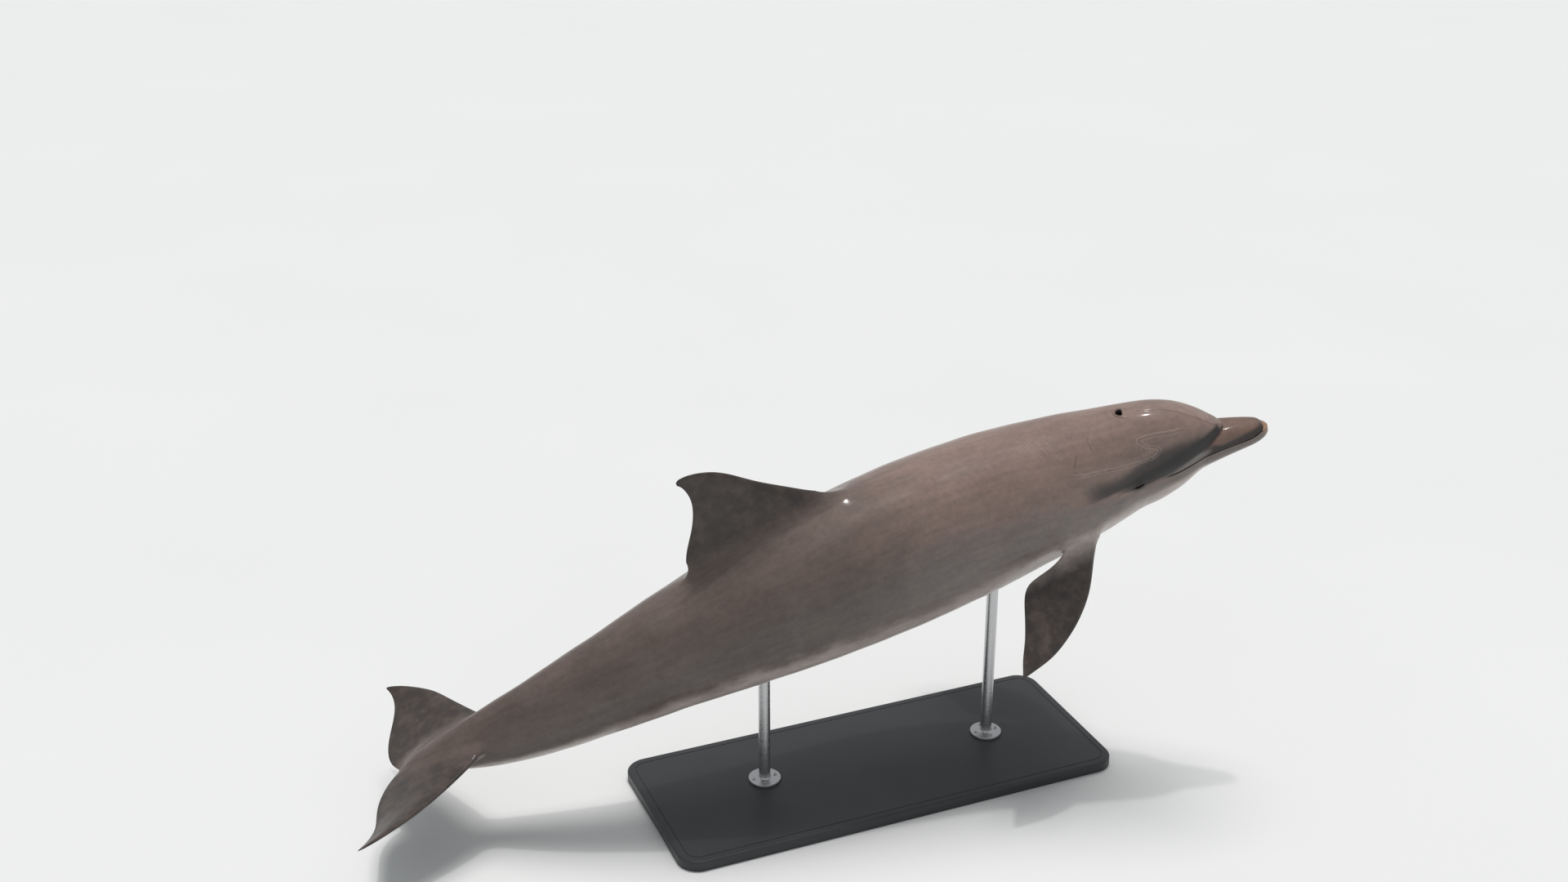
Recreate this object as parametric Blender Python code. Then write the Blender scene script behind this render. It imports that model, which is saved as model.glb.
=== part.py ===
"""Life-size bottlenose dolphin, nose up and bent to its right, held by a plain display stand.

The animal is worked out straight and level first: s is the distance back from the tip of the upper
jaw, y is to its left and z is up from the line of the mouth. pose() then bends the spine, pitches
the body and lifts it over the base. The world origin is under the middle of the stand's base, on
the floor, and the animal faces +X. Metres throughout.
"""

import bmesh
import bpy
import numpy as np

GAP = 0.0003  # left between neighbouring pieces
FIN_GAP = 0.0006  # left between the body and what grows from it or holds it

# Lengths along the animal
CREASE_S = 0.100  # where the melon rises from the beak
HEAD_END = 0.400
NECK_END = 0.515
CHEST_END = 1.050
LOIN_END = 1.620
TAIL_TIP = 2.468  # end of the tail stock, between the flukes
CHIN_LEAD = 0.011  # the lower jaw's tip is this far ahead of the upper one's
MOUTH_CORNER_S = 0.300
THROAT_SLANT = 0.035  # the back of the lower jaw slopes this far back from the mouth's corner

# Reach of the tools that part the body
WIDEST = 0.34  # more than any half-width or half-height
AHEAD = -0.05  # a station ahead of the jaws
FAR_OUTSIDE = 0.05  # a distance that joins nothing
SLAB_STEP = 0.04

# Skull and trunk: s, top, bottom, half-width
TRUNK = (
    (0.100, 0.048, 0.044, 0.000),
    (0.130, 0.085, 0.006, 0.042),
    (0.160, 0.116, -0.024, 0.062),
    (0.200, 0.146, -0.050, 0.083),
    (0.250, 0.168, -0.076, 0.100),
    (0.300, 0.180, -0.093, 0.111),
    (0.345, 0.186, -0.108, 0.120),
    (0.400, 0.190, -0.128, 0.134),
    (0.470, 0.194, -0.149, 0.152),
    (0.620, 0.206, -0.182, 0.180),
    (0.800, 0.219, -0.207, 0.198),
    (1.000, 0.228, -0.213, 0.203),
    (1.200, 0.230, -0.202, 0.194),
    (1.400, 0.219, -0.181, 0.173),
    (1.600, 0.199, -0.156, 0.145),
    (1.800, 0.169, -0.134, 0.116),
    (2.000, 0.136, -0.118, 0.093),
    (2.100, 0.119, -0.107, 0.080),
    (2.200, 0.104, -0.090, 0.065),
    (2.300, 0.087, -0.060, 0.048),
    (2.400, 0.063, -0.014, 0.032),
    (TAIL_TIP, 0.036, 0.026, 0.006),
)
# Upper jaw: s, top, half-width
UPPER_JAW = (
    (0.000, 0.004, 0.000),
    (0.010, 0.026, 0.021),
    (0.030, 0.034, 0.032),
    (0.060, 0.042, 0.040),
    (0.100, 0.050, 0.049),
    (0.150, 0.056, 0.063),
    (0.220, 0.062, 0.085),
    (0.290, 0.066, 0.102),
    (0.360, 0.066, 0.110),
)
# Lower jaw: distance back from its own tip, bottom, half-width
LOWER_JAW = (
    (0.000, -0.005, 0.000),
    (0.010, -0.025, 0.020),
    (0.025, -0.033, 0.028),
    (0.050, -0.038, 0.036),
    (0.080, -0.041, 0.042),
    (0.108, -0.044, 0.048),
    (0.150, -0.047, 0.060),
    (0.200, -0.054, 0.075),
    (0.240, -0.064, 0.087),
    (0.300, -0.086, 0.101),
    (0.366, -0.102, 0.109),
)
JAW_END = 0.36
MOUTH_LINE = (
    (-0.05, 0.000),
    (-0.011, 0.001),
    (0.000, 0.007),
    (0.018, 0.005),
    (0.050, 0.002),
    (0.080, 0.004),
    (0.125, 0.009),
    (0.170, 0.014),
    (0.215, 0.018),
    (0.260, 0.020),
    (0.300, 0.024),
)
# Slanted cut at the foot of the melon, from the underside up: s and z
MELON_CUT = ((0.200, -0.340), (0.165, -0.020), (0.100, 0.060), (0.090, 0.340))
CREASE_BLEND = 0.005  # radius of the fold between beak and melon
CHEEK_BLEND = 0.030  # radius of the same join at the back of the jaws
CREASE_FADE = (0.13, 0.26)  # stations where the fold widens from the one to the other
JAW_FADE = 0.04  # the jaws sink into the head over this length before JAW_END

# Powers of the oval sections: 2 is an ellipse, more is squarer and less is sharper at the keels
TRUNK_POWER = 2.10
TAIL_POWER = 1.85
TAIL_KEEL = (1.70, 2.10)  # stations where the section changes from the one to the other
UPPER_JAW_POWER = 2.7
LOWER_JAW_POWER = 2.2
CHIN_LIP = 0.005  # the lower lip rises this far round the tip of the upper jaw
CHIN_LIP_S = 0.007  # where that rise begins, and as far ahead of the tip it is whole
JAW_TIP_SIZE = 0.010  # least size used for a distance, so that the pointed tips still count
JAWS_LEVEL = (0.18, 0.26)  # stations over which the jaws come to the same width
CHIN_Z = -0.006  # level of the lower jaw's tip
MIDDLE_Z = -0.008  # height of the middle of the sections ahead of the melon
MIDDLE_LEVEL_S = 0.24  # behind this the sections are measured from their own middle

# Eye, on each side
EYE = (0.358, 0.120, 0.029)
EYE_RADIUS = 0.0165
EYE_SINK = 0.0085  # its middle lies this far in from the skin
EYE_BULGE = 0.004
EYE_BULGE_SIZE = 0.030

BLOWHOLE = (0.355, 0.0, 0.189)
BLOWHOLE_SIZE = (0.010, 0.015, 0.012)

# Fins as leading edge and trailing edge pairs, root first, with the half-thickness there.
# Dorsal fin: s and z of each edge
DORSAL_FIN = (
    (1.060, 0.160, 1.620, 0.160, 0.036),
    (1.105, 0.222, 1.595, 0.215, 0.030),
    (1.195, 0.275, 1.575, 0.270, 0.023),
    (1.270, 0.328, 1.552, 0.312, 0.018),
    (1.340, 0.383, 1.530, 0.352, 0.014),
    (1.400, 0.438, 1.515, 0.395, 0.010),
    (1.448, 0.471, 1.513, 0.432, 0.007),
    (1.495, 0.487, 1.521, 0.462, 0.004),
    (1.528, 0.487, 1.532, 0.475, 0.0015),
)
# Fluke: s and y of each edge
FLUKE = (
    (2.150, 0.000, 2.500, 0.000, 0.023),
    (2.215, 0.045, 2.530, 0.038, 0.020),
    (2.260, 0.090, 2.546, 0.085, 0.016),
    (2.305, 0.140, 2.547, 0.135, 0.013),
    (2.352, 0.190, 2.538, 0.185, 0.011),
    (2.402, 0.238, 2.530, 0.230, 0.009),
    (2.455, 0.275, 2.532, 0.267, 0.006),
    (2.505, 0.302, 2.542, 0.296, 0.004),
    (2.548, 0.318, 2.555, 0.317, 0.0015),
)
FLUKE_Z = 0.030
FLUKE_CURL = 0.052  # the tips stand this much higher than the middle
# Flipper: distance outward along it and forward across it, for each edge
FLIPPER = (
    (-0.135, 0.031, -0.150, -0.016, 0.019),
    (-0.080, 0.050, -0.080, -0.015, 0.018),
    (-0.030, 0.068, -0.010, -0.014, 0.017),
    (0.020, 0.088, 0.045, -0.024, 0.015),
    (0.075, 0.103, 0.100, -0.050, 0.013),
    (0.140, 0.107, 0.155, -0.064, 0.011),
    (0.205, 0.099, 0.215, -0.044, 0.009),
    (0.275, 0.078, 0.280, -0.020, 0.007),
    (0.335, 0.046, 0.335, -0.008, 0.005),
    (0.370, 0.024, 0.370, 0.002, 0.003),
    (0.388, 0.012, 0.388, 0.007, 0.0012),
)
FLIPPER_ROOT = (0.600, 0.162, -0.103)
FLIPPER_AXIS = (0.732, 0.547, -0.405)  # back, out and down
FLIPPER_FRONT = (-0.676, 0.511, -0.531)  # towards its leading edge
FLIPPER_CURVE = 0.15  # how fast it bends in towards the body

# Pose, in degrees: the spine bends from BEND_MIDDLE towards both ends
BEND_MIDDLE = 1.15
NECK_STIFF = 0.42  # ahead of this the head is rigid
TAIL_STIFF = 2.40
TAIL_PITCH = 10.7
TAIL_YAW = -20.9
HEAD_PITCH = 3.7
HEAD_YAW = -23.2
HEAD_ROLL = 7.0  # its right side lower
BODY_PITCH = 16.9
TAIL_ROLL = 3.0
TAIL_BEND_POWER = 1.4
BODY_PLACE = (-0.03, 0.02, 0.64)  # of the point at BEND_MIDDLE on the mouth's level

# Stand
BASE_SIZE = (1.30, 0.52, 0.030)
BASE_CORNER = 0.06
BASE_BEVEL = 0.004
ROD_RADIUS = 0.016
ROD_FOOT_RADIUS = 0.045
ROD_FOOT_HEIGHT = 0.008
ROD_FOOT_CHAMFER = 0.002
ROD_STATIONS = {"stand_rod_front": 0.80, "stand_rod_rear": 1.50}
ROD_INSIDE = 0.06  # its plain end runs this far into the belly before it is cut to shape

# Fineness of the meshes
BODY_SIDES = 32
MOUTH_STATIONS = 14
FACE_STATIONS = 18
TRUNK_STATIONS = 33
FIN_CHORDS = 8
FIN_ROWS = 12
FIN_EDGE = 0.0008  # least half-thickness, so that no edge is sharp
BALL_SIDES = 16
BALL_RINGS = 10
ROD_SIDES = 24
CORNER_STEPS = 8


# ---- curves


def spline(xs, ys):
    """Natural cubic spline through the points, as a function of an array."""
    xs = np.asarray(xs, float)
    ys = np.asarray(ys, float)
    step = np.diff(xs)
    slope = np.diff(ys) / step
    size = len(xs)
    system = np.eye(size)
    right = np.zeros(size)
    for i in range(1, size - 1):
        system[i, i - 1 : i + 2] = (step[i - 1], 2 * (step[i - 1] + step[i]), step[i])
        right[i] = 6 * (slope[i] - slope[i - 1])
    curve = np.linalg.solve(system, right)

    def value(x):
        x = np.clip(x, xs[0], xs[-1])
        i = np.clip(np.searchsorted(xs, x) - 1, 0, size - 2)
        a = (xs[i + 1] - x) / step[i]
        b = 1 - a
        bend = (a**3 - a) * curve[i] + (b**3 - b) * curve[i + 1]
        return a * ys[i] + b * ys[i + 1] + bend * step[i] ** 2 / 6

    return value


def rounded_start(table):
    """Splines of the columns against the root of the distance from the first row: the end is round."""
    rows = np.array(table)
    start = rows[0, 0]
    root = np.sqrt(rows[:, 0] - start)
    columns = [spline(root, rows[:, i]) for i in range(1, rows.shape[1])]
    return [lambda s, c=c: c(np.sqrt(np.maximum(s - start, 0.0))) for c in columns]


trunk_top, trunk_bottom, trunk_width = rounded_start(TRUNK)
upper_top, upper_width = rounded_start(UPPER_JAW)
lower_bottom, lower_width = rounded_start(LOWER_JAW)
mouth_z = spline(*zip(*MOUTH_LINE))


def ramp(x, low, high):
    """0 below low, 1 above high and smooth between."""
    t = np.clip((x - low) / (high - low), 0, 1)
    return t * t * (3 - 2 * t)


def smooth_least(a, b, radius):
    """The lesser of two distances, with the corner between them filled to about this radius."""
    h = np.clip(0.5 + 0.5 * (b - a) / radius, 0, 1)
    return b + (a - b) * h - radius * h * (1 - h)


# ---- the body's surface, straight and level


def outside_share(y, z, middle, half_width, half_height, power):
    """Distance outside an oval section, as a share of its own size."""
    width = np.maximum(half_width, 1e-4)
    height = np.maximum(half_height, 1e-4)
    return (np.abs(y / width) ** power + np.abs((z - middle) / height) ** power) ** (1 / power) - 1


def oval(y, z, middle, half_width, half_height, power):
    """Roughly the distance outside an oval section."""
    size = np.minimum(np.maximum(half_width, 1e-4), np.maximum(half_height, 1e-4))
    return outside_share(y, z, middle, half_width, half_height, power) * size


def trunk_distance(s, y, z):
    top = trunk_top(s)
    bottom = trunk_bottom(s)
    power = TRUNK_POWER + (TAIL_POWER - TRUNK_POWER) * ramp(s, *TAIL_KEEL)
    outside = oval(y, z, (top + bottom) / 2, trunk_width(s), (top - bottom) / 2, power)
    return np.where(s < CREASE_S, FAR_OUTSIDE, outside)


def jaw_distances(s, y, z):
    """The upper and the lower jaw's, which meet at the line of the mouth."""
    line = mouth_z(s)
    width = upper_width(s)
    height = upper_top(s) - line
    size = np.maximum(np.minimum(width, height), JAW_TIP_SIZE)
    upper = outside_share(y, z, line, width, height, UPPER_JAW_POWER) * size
    chin = s + CHIN_LEAD
    same = ramp(s, *JAWS_LEVEL)
    width = lower_width(chin) * (1 - same) + width * same
    lower = outside_share(y, z, line, width, line - lower_bottom(chin), LOWER_JAW_POWER) * size
    rise = CHIN_LIP * ramp(s, CHIN_LIP_S, -CHIN_LIP_S)
    lip = outside_share(y, z, line, width, rise, LOWER_JAW_POWER) * size
    lip = np.where(s < CHIN_LIP_S, lip, FAR_OUTSIDE)
    upper = np.where((s < 0) | (z <= line), FAR_OUTSIDE, upper)
    return upper, np.where(z > line, lip, lower)


def jaw_distance(s, y, z):
    sink = np.maximum(s - JAW_END + JAW_FADE, 0) / 3
    return np.minimum(*jaw_distances(s, y, z)) + sink


def body_distance(s, y, z):
    """Below 0 inside the body and above 0 outside it."""
    blend = CREASE_BLEND + (CHEEK_BLEND - CREASE_BLEND) * ramp(s, *CREASE_FADE)
    outside = smooth_least(trunk_distance(s, y, z), jaw_distance(s, y, z), blend)
    eye = (s - EYE[0]) ** 2 + (np.abs(y) - EYE[1]) ** 2 + (z - EYE[2]) ** 2
    return outside - EYE_BULGE * np.exp(-eye / EYE_BULGE_SIZE**2)


def middle_z(s):
    """Height of the line inside the body that its sections are measured from."""
    level = (trunk_top(s) + trunk_bottom(s)) / 2
    share = ramp(s, CREASE_S, MIDDLE_LEVEL_S)
    return level * share + MIDDLE_Z * (1 - share)


def body_rings(stations, angles):
    """Points of the surface at each station and angle, found along rays from the middle line."""
    s = np.asarray(stations)[:, None]
    dy = np.sin(angles)[None, :]
    dz = np.cos(angles)[None, :]
    middle = middle_z(s)
    reach = np.linspace(0.0, WIDEST, 241)
    across = dy[..., None] * reach
    above = middle[..., None] + dz[..., None] * reach
    inside = body_distance(s[..., None], across, above) < 0
    last = len(reach) - 1 - np.argmax(inside[..., ::-1], axis=2)
    last = np.where(inside.any(axis=2), last, 0)
    low = reach[last]
    high = low + reach[1]
    for _ in range(30):
        centre = (low + high) / 2
        within = body_distance(s, dy * centre, middle + dz * centre) < 0
        low = np.where(within, centre, low)
        high = np.where(within, high, centre)
    return np.stack([s + 0 * dy, dy * low, middle + dz * low], axis=-1)


def body_stations():
    """Stations of the sections, closer together where the shape turns quickly."""
    chin = -CHIN_LEAD + np.array([0.0015, 0.005, 0.010, 0.018, 0.028])
    beak = np.linspace(0.036, CREASE_S - 0.002, 4)
    face = np.linspace(CREASE_S + 0.003, NECK_STIFF, FACE_STATIONS)
    rest = np.linspace(NECK_STIFF, TAIL_STIFF, TRUNK_STATIONS + 1)[1:]
    end = TAIL_TIP - np.array([0.038, 0.016, 0.005])
    return np.concatenate([chin, beak, face, rest, end])


# ---- pose


def turn(pitch, yaw, roll):
    """Axes (forward, left, up) as columns, for angles in degrees: nose up, nose left, left side up."""
    pitch, yaw, roll = np.radians(pitch), np.radians(yaw), np.radians(roll)
    level = np.stack([-np.sin(yaw), np.cos(yaw), np.zeros_like(yaw)], axis=-1)
    flat = np.cos(pitch)
    forward = np.stack([flat * np.cos(yaw), flat * np.sin(yaw), np.sin(pitch)], axis=-1)
    upright = np.cross(forward, level)
    roll = roll[..., None]
    left = level * np.cos(roll) + upright * np.sin(roll)
    return np.stack([forward, left, np.cross(forward, left)], axis=-1)


def spine_turn(s):
    s = np.asarray(s, float)
    tail = np.clip((s - BEND_MIDDLE) / (TAIL_STIFF - BEND_MIDDLE), 0, 1) ** TAIL_BEND_POWER
    head = 1 - ramp(s, NECK_STIFF, BEND_MIDDLE)
    pitch = TAIL_PITCH * tail + HEAD_PITCH * head
    yaw = TAIL_YAW * tail + HEAD_YAW * head
    roll = TAIL_ROLL * tail + HEAD_ROLL * head
    return turn(pitch, yaw, roll)


SPINE_S = np.linspace(-0.20, 2.80, 601)
SPINE_MIDS = (SPINE_S[1:] + SPINE_S[:-1]) / 2
SPINE_STEPS = -spine_turn(SPINE_MIDS)[:, :, 0] * np.diff(SPINE_S)[:, None]
SPINE = np.concatenate([np.zeros((1, 3)), np.cumsum(SPINE_STEPS, axis=0)])
SPINE -= [np.interp(BEND_MIDDLE, SPINE_S, SPINE[:, i]) for i in range(3)]
WHOLE_TURN = turn(np.array(BODY_PITCH), np.array(0.0), np.array(0.0))


def pose(points):
    """World positions of points given as (s, y, z)."""
    points = np.asarray(points, float)
    s = points[..., 0]
    axes = spine_turn(s)
    centre = np.stack([np.interp(s, SPINE_S, SPINE[:, i]) for i in range(3)], axis=-1)
    bent = centre + axes[..., 1] * points[..., 1:2] + axes[..., 2] * points[..., 2:3]
    return bent @ WHOLE_TURN.T + BODY_PLACE


# ---- meshes


def new_object(name, points, faces):
    mesh = bpy.data.meshes.new(name)
    mesh.from_pydata([tuple(p) for p in points], [], faces)
    shape = bmesh.new()
    shape.from_mesh(mesh)
    bmesh.ops.recalc_face_normals(shape, faces=shape.faces)
    shape.to_mesh(mesh)
    shape.free()
    obj = bpy.data.objects.new(name, mesh)
    bpy.context.scene.collection.objects.link(obj)
    return obj


def as_cutter(obj):
    obj.hide_render = True
    obj.display_type = "WIRE"
    return obj


def carve(obj, cutter, operation):
    modifier = obj.modifiers.new(cutter.name, "BOOLEAN")
    modifier.operation = operation
    modifier.object = cutter
    modifier.solver = "EXACT"


def ring_faces(rings, sides):
    faces = []
    for i in range(rings - 1):
        for j in range(sides):
            k = (j + 1) % sides
            faces.append((i * sides + j, i * sides + k, (i + 1) * sides + k, (i + 1) * sides + j))
    return faces


def body_mesh(grow):
    """The posed body as points and faces, each point moved out by grow."""
    angles = np.linspace(0, 2 * np.pi, BODY_SIDES, endpoint=False)
    rings = body_rings(body_stations(), angles)
    along = np.gradient(rings, axis=0)
    around = np.roll(rings, -1, axis=1) - np.roll(rings, 1, axis=1)
    out = np.cross(along, around)
    out /= np.linalg.norm(out, axis=-1, keepdims=True)
    points = (rings + out * grow).reshape(-1, 3)
    chin = (-CHIN_LEAD - grow, 0, CHIN_Z)
    tail = (TAIL_TIP + grow, 0, FLUKE_Z)
    faces = ring_faces(len(rings), BODY_SIDES)
    first, last = len(points), len(points) + 1
    for j in range(BODY_SIDES):
        k = (j + 1) % BODY_SIDES
        faces.append((j, k, first))
        faces.append((first - BODY_SIDES + j, first - BODY_SIDES + k, last))
    return pose(np.vstack([points, [chin, tail]])), faces


def slab(name, front, back):
    """A bent block holding all of the body between two stations."""
    stations = np.linspace(front, back, 2 + int((back - front) / SLAB_STEP))
    corners = ((-WIDEST, -WIDEST), (WIDEST, -WIDEST), (WIDEST, WIDEST), (-WIDEST, WIDEST))
    points = [(s, y, z) for s in stations for y, z in corners]
    faces = ring_faces(len(stations), 4)
    last = 4 * (len(stations) - 1)
    faces.append((0, 1, 2, 3))
    faces.append((last, last + 1, last + 2, last + 3))
    return as_cutter(new_object(name, pose(points), faces))


def head_prism(name, outline):
    """An outline in (s, z) drawn out across the head, whose part of the spine doesn't bend."""
    size = len(outline)
    points = [(s, side, z) for side in (-WIDEST, WIDEST) for s, z in outline]
    faces = [tuple(range(size)), tuple(range(size, 2 * size))]
    for j in range(size):
        k = (j + 1) % size
        faces.append((j, k, size + k, size + j))
    return as_cutter(new_object(name, pose(points), faces))


def lower_jaw_outline(grow):
    """All below the line of the mouth and ahead of the back of the jaw."""
    stations = np.linspace(AHEAD, MOUTH_CORNER_S, MOUTH_STATIONS)
    line = [(s, float(mouth_z(s)) + grow) for s in stations]
    corner = (line[-1][0] + grow, line[-1][1])
    throat = (MOUTH_CORNER_S + THROAT_SLANT + grow, -WIDEST)
    return line[:-1] + [corner, throat, (AHEAD, -WIDEST)]


def upper_jaw_outline(grow):
    """All ahead of a slanted cut at the foot of the melon."""
    return [(s + grow, z) for s, z in MELON_CUT] + [(AHEAD, WIDEST), (AHEAD, -WIDEST)]


def fin_profile(x):
    """Half-thickness, at most 1, of a streamlined section a share x of the way to its trailing edge."""
    return (0.2969 * np.sqrt(x) - 0.1260 * x - 0.3516 * x**2 + 0.2843 * x**3 - 0.1036 * x**4) / 0.1


def fin(name, edges, place):
    """A closed blade, cut to the body. edges are leading and trailing edges; place makes them 3-D."""
    table = np.array(edges)
    steps = np.arange(len(table))
    curves = [spline(steps, table[:, i]) for i in range(5)]
    spans = np.linspace(0, len(table) - 1, FIN_ROWS)
    chord = (1 - np.cos(np.linspace(0, np.pi, FIN_CHORDS))) / 2
    thick = fin_profile(chord)
    rings = []
    for span in spans:
        lead_a, lead_b, trail_a, trail_b, half = (float(c(span)) for c in curves)
        a = lead_a + (trail_a - lead_a) * chord
        b = lead_b + (trail_b - lead_b) * chord
        rise = np.maximum(half * thick, FIN_EDGE)
        rise[0] = 0
        upper = place(a, b, rise)
        lower = place(a[1:], b[1:], -rise[1:])
        rings.append(np.vstack([upper, lower[::-1]]))
    sides = 2 * FIN_CHORDS - 1
    faces = ring_faces(FIN_ROWS, sides)
    for start in (0, (FIN_ROWS - 1) * sides):
        faces.append((start, start + 1, start + sides - 1))
        for i in range(1, FIN_CHORDS - 1):
            faces.append((start + i, start + i + 1, start + sides - i - 1, start + sides - i))
    return new_object(name, pose(np.vstack(rings)), faces)


def dorsal_place(s, z, rise):
    return np.stack([s, rise, z], axis=-1)


def fluke_place(side):
    def place(s, y, rise):
        z = FLUKE_Z + FLUKE_CURL * (y / FLUKE[-1][1]) ** 2 + rise
        return np.stack([s, side * (y + GAP / 2), z], axis=-1)

    return place


def flipper_place(side):
    axis = np.array(FLIPPER_AXIS)
    front = np.array(FLIPPER_FRONT)
    out = np.cross(axis, front)
    out /= np.linalg.norm(out)

    def place(along, across, rise):
        bend = rise - FLIPPER_CURVE * np.maximum(along, 0) ** 2 * np.sign(out[1])
        point = FLIPPER_ROOT + np.outer(along, axis) + np.outer(across, front) + np.outer(bend, out)
        return point * (1, side, 1)

    return place


def ball(name, centre, radii):
    """An ellipsoid in the head, its radii along s, y and z."""
    shape = bmesh.new()
    bmesh.ops.create_uvsphere(shape, u_segments=BALL_SIDES, v_segments=BALL_RINGS, radius=1.0)
    points = [np.array(v.co) * radii + centre for v in shape.verts]
    faces = [tuple(v.index for v in f.verts) for f in shape.faces]
    shape.free()
    return new_object(name, pose(points), faces)


# ---- stand


def rounded_base():
    """A flat slab with rounded corners, its underside on the floor."""
    length, width, height = BASE_SIZE
    outline = []
    for quarter in range(4):
        cx = (length / 2 - BASE_CORNER) * (1, -1, -1, 1)[quarter]
        cy = (width / 2 - BASE_CORNER) * (1, 1, -1, -1)[quarter]
        for step in range(CORNER_STEPS + 1):
            angle = np.pi / 2 * (quarter + step / CORNER_STEPS)
            outline.append((cx + BASE_CORNER * np.cos(angle), cy + BASE_CORNER * np.sin(angle)))
    size = len(outline)
    points = [(x, y, z) for z in (0.0, height) for x, y in outline]
    faces = ring_faces(2, size)
    faces.append(tuple(range(size)))
    faces.append(tuple(range(size, 2 * size)))
    obj = new_object("stand_base", points, faces)
    bevel = obj.modifiers.new("edge", "BEVEL")
    bevel.width = BASE_BEVEL
    bevel.segments = 2
    bevel.limit_method = "ANGLE"
    return obj


def rod(name, station, grown_body):
    """A round foot and rod standing on the base, its top shaped to the belly."""
    under = pose((station, 0.0, float(trunk_bottom(station))))
    floor = BASE_SIZE[2] + GAP
    foot = floor + ROD_FOOT_HEIGHT
    profile = (
        (ROD_FOOT_RADIUS, floor),
        (ROD_FOOT_RADIUS, foot - ROD_FOOT_CHAMFER),
        (ROD_FOOT_RADIUS - ROD_FOOT_CHAMFER, foot),
        (ROD_RADIUS, foot),
        (ROD_RADIUS, under[2] + ROD_INSIDE),
    )
    angles = np.linspace(0, 2 * np.pi, ROD_SIDES, endpoint=False)
    circle = np.stack([np.cos(angles), np.sin(angles)], axis=1)
    points = [(*(under[:2] + r * way), z) for r, z in profile for way in circle]
    faces = ring_faces(len(profile), ROD_SIDES)
    last = (len(profile) - 1) * ROD_SIDES
    faces.append(tuple(range(ROD_SIDES)))
    faces.append(tuple(range(last, last + ROD_SIDES)))
    obj = new_object(name, points, faces)
    carve(obj, grown_body, "DIFFERENCE")
    return obj


# ---- materials


def material(name, colour, roughness, metallic=0.0):
    made = bpy.data.materials.new(name)
    made.use_nodes = True
    shader = made.node_tree.nodes["Principled BSDF"]
    shader.inputs["Base Color"].default_value = (*colour, 1.0)
    shader.inputs["Roughness"].default_value = roughness
    shader.inputs["Metallic"].default_value = metallic
    return made


def build():
    for obj in list(bpy.data.objects):
        bpy.data.objects.remove(obj, do_unlink=True)

    skin_dark = material("skin_back", (0.150, 0.105, 0.092), 0.30)
    skin_face = material("skin_beak", (0.190, 0.125, 0.100), 0.30)
    skin_jaw = material("skin_lower_jaw", (0.420, 0.270, 0.200), 0.32)
    skin_fin = material("skin_fins", (0.075, 0.058, 0.054), 0.30)
    eye_dark = material("eye", (0.012, 0.009, 0.008), 0.08)
    base_paint = material("base_lacquer", (0.035, 0.036, 0.038), 0.45)
    rod_steel = material("rod_steel", (0.560, 0.560, 0.570), 0.28, 1.0)

    body = body_mesh(0.0)
    grown = as_cutter(new_object("cut_grown_body", *body_mesh(FIN_GAP)))
    mouth = head_prism("cut_mouth", lower_jaw_outline(-GAP / 2))
    mouth_grown = head_prism("cut_mouth_grown", lower_jaw_outline(GAP / 2))
    beak = head_prism("cut_beak", upper_jaw_outline(-GAP / 2))
    beak_grown = head_prism("cut_beak_grown", upper_jaw_outline(GAP / 2))

    def flesh(name, skin):
        obj = new_object(name, *body)
        obj.data.materials.append(skin)
        return obj

    lower_jaw = flesh("lower_jaw", skin_jaw)
    carve(lower_jaw, mouth, "INTERSECT")

    upper_jaw = flesh("upper_jaw", skin_face)
    carve(upper_jaw, mouth_grown, "DIFFERENCE")
    carve(upper_jaw, beak, "INTERSECT")

    head = flesh("head", skin_dark)
    carve(head, slab("cut_head", 2 * AHEAD, HEAD_END - GAP / 2), "INTERSECT")
    carve(head, mouth_grown, "DIFFERENCE")
    carve(head, beak_grown, "DIFFERENCE")
    carve(head, as_cutter(ball("cut_blowhole", BLOWHOLE, BLOWHOLE_SIZE)), "DIFFERENCE")
    for name, side in (("eye_left", 1), ("eye_right", -1)):
        centre = (EYE[0], side * (EYE[1] - EYE_SINK), EYE[2])
        ball(name, centre, [EYE_RADIUS] * 3).data.materials.append(eye_dark)
        socket = ball("cut_" + name, centre, [EYE_RADIUS + FIN_GAP] * 3)
        carve(head, as_cutter(socket), "DIFFERENCE")

    lengths = (
        ("neck", HEAD_END, NECK_END),
        ("chest", NECK_END, CHEST_END),
        ("loin", CHEST_END, LOIN_END),
        ("tail_stock", LOIN_END, TAIL_TIP + SLAB_STEP),
    )
    for name, front, back in lengths:
        piece = flesh(name, skin_dark)
        carve(piece, slab("cut_" + name, front + GAP / 2, back - GAP / 2), "INTERSECT")

    fins = [fin("dorsal_fin", DORSAL_FIN, dorsal_place)]
    for side_name, side in (("left", 1), ("right", -1)):
        fins.append(fin("fluke_" + side_name, FLUKE, fluke_place(side)))
        fins.append(fin("flipper_" + side_name, FLIPPER, flipper_place(side)))
    for blade in fins:
        blade.data.materials.append(skin_fin)
        carve(blade, grown, "DIFFERENCE")

    rounded_base().data.materials.append(base_paint)
    for name, station in ROD_STATIONS.items():
        rod(name, station, grown).data.materials.append(rod_steel)


build()
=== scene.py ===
import bmesh
import bpy
import numpy as np
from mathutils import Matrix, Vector
from mathutils.bvhtree import BVHTree


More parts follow.
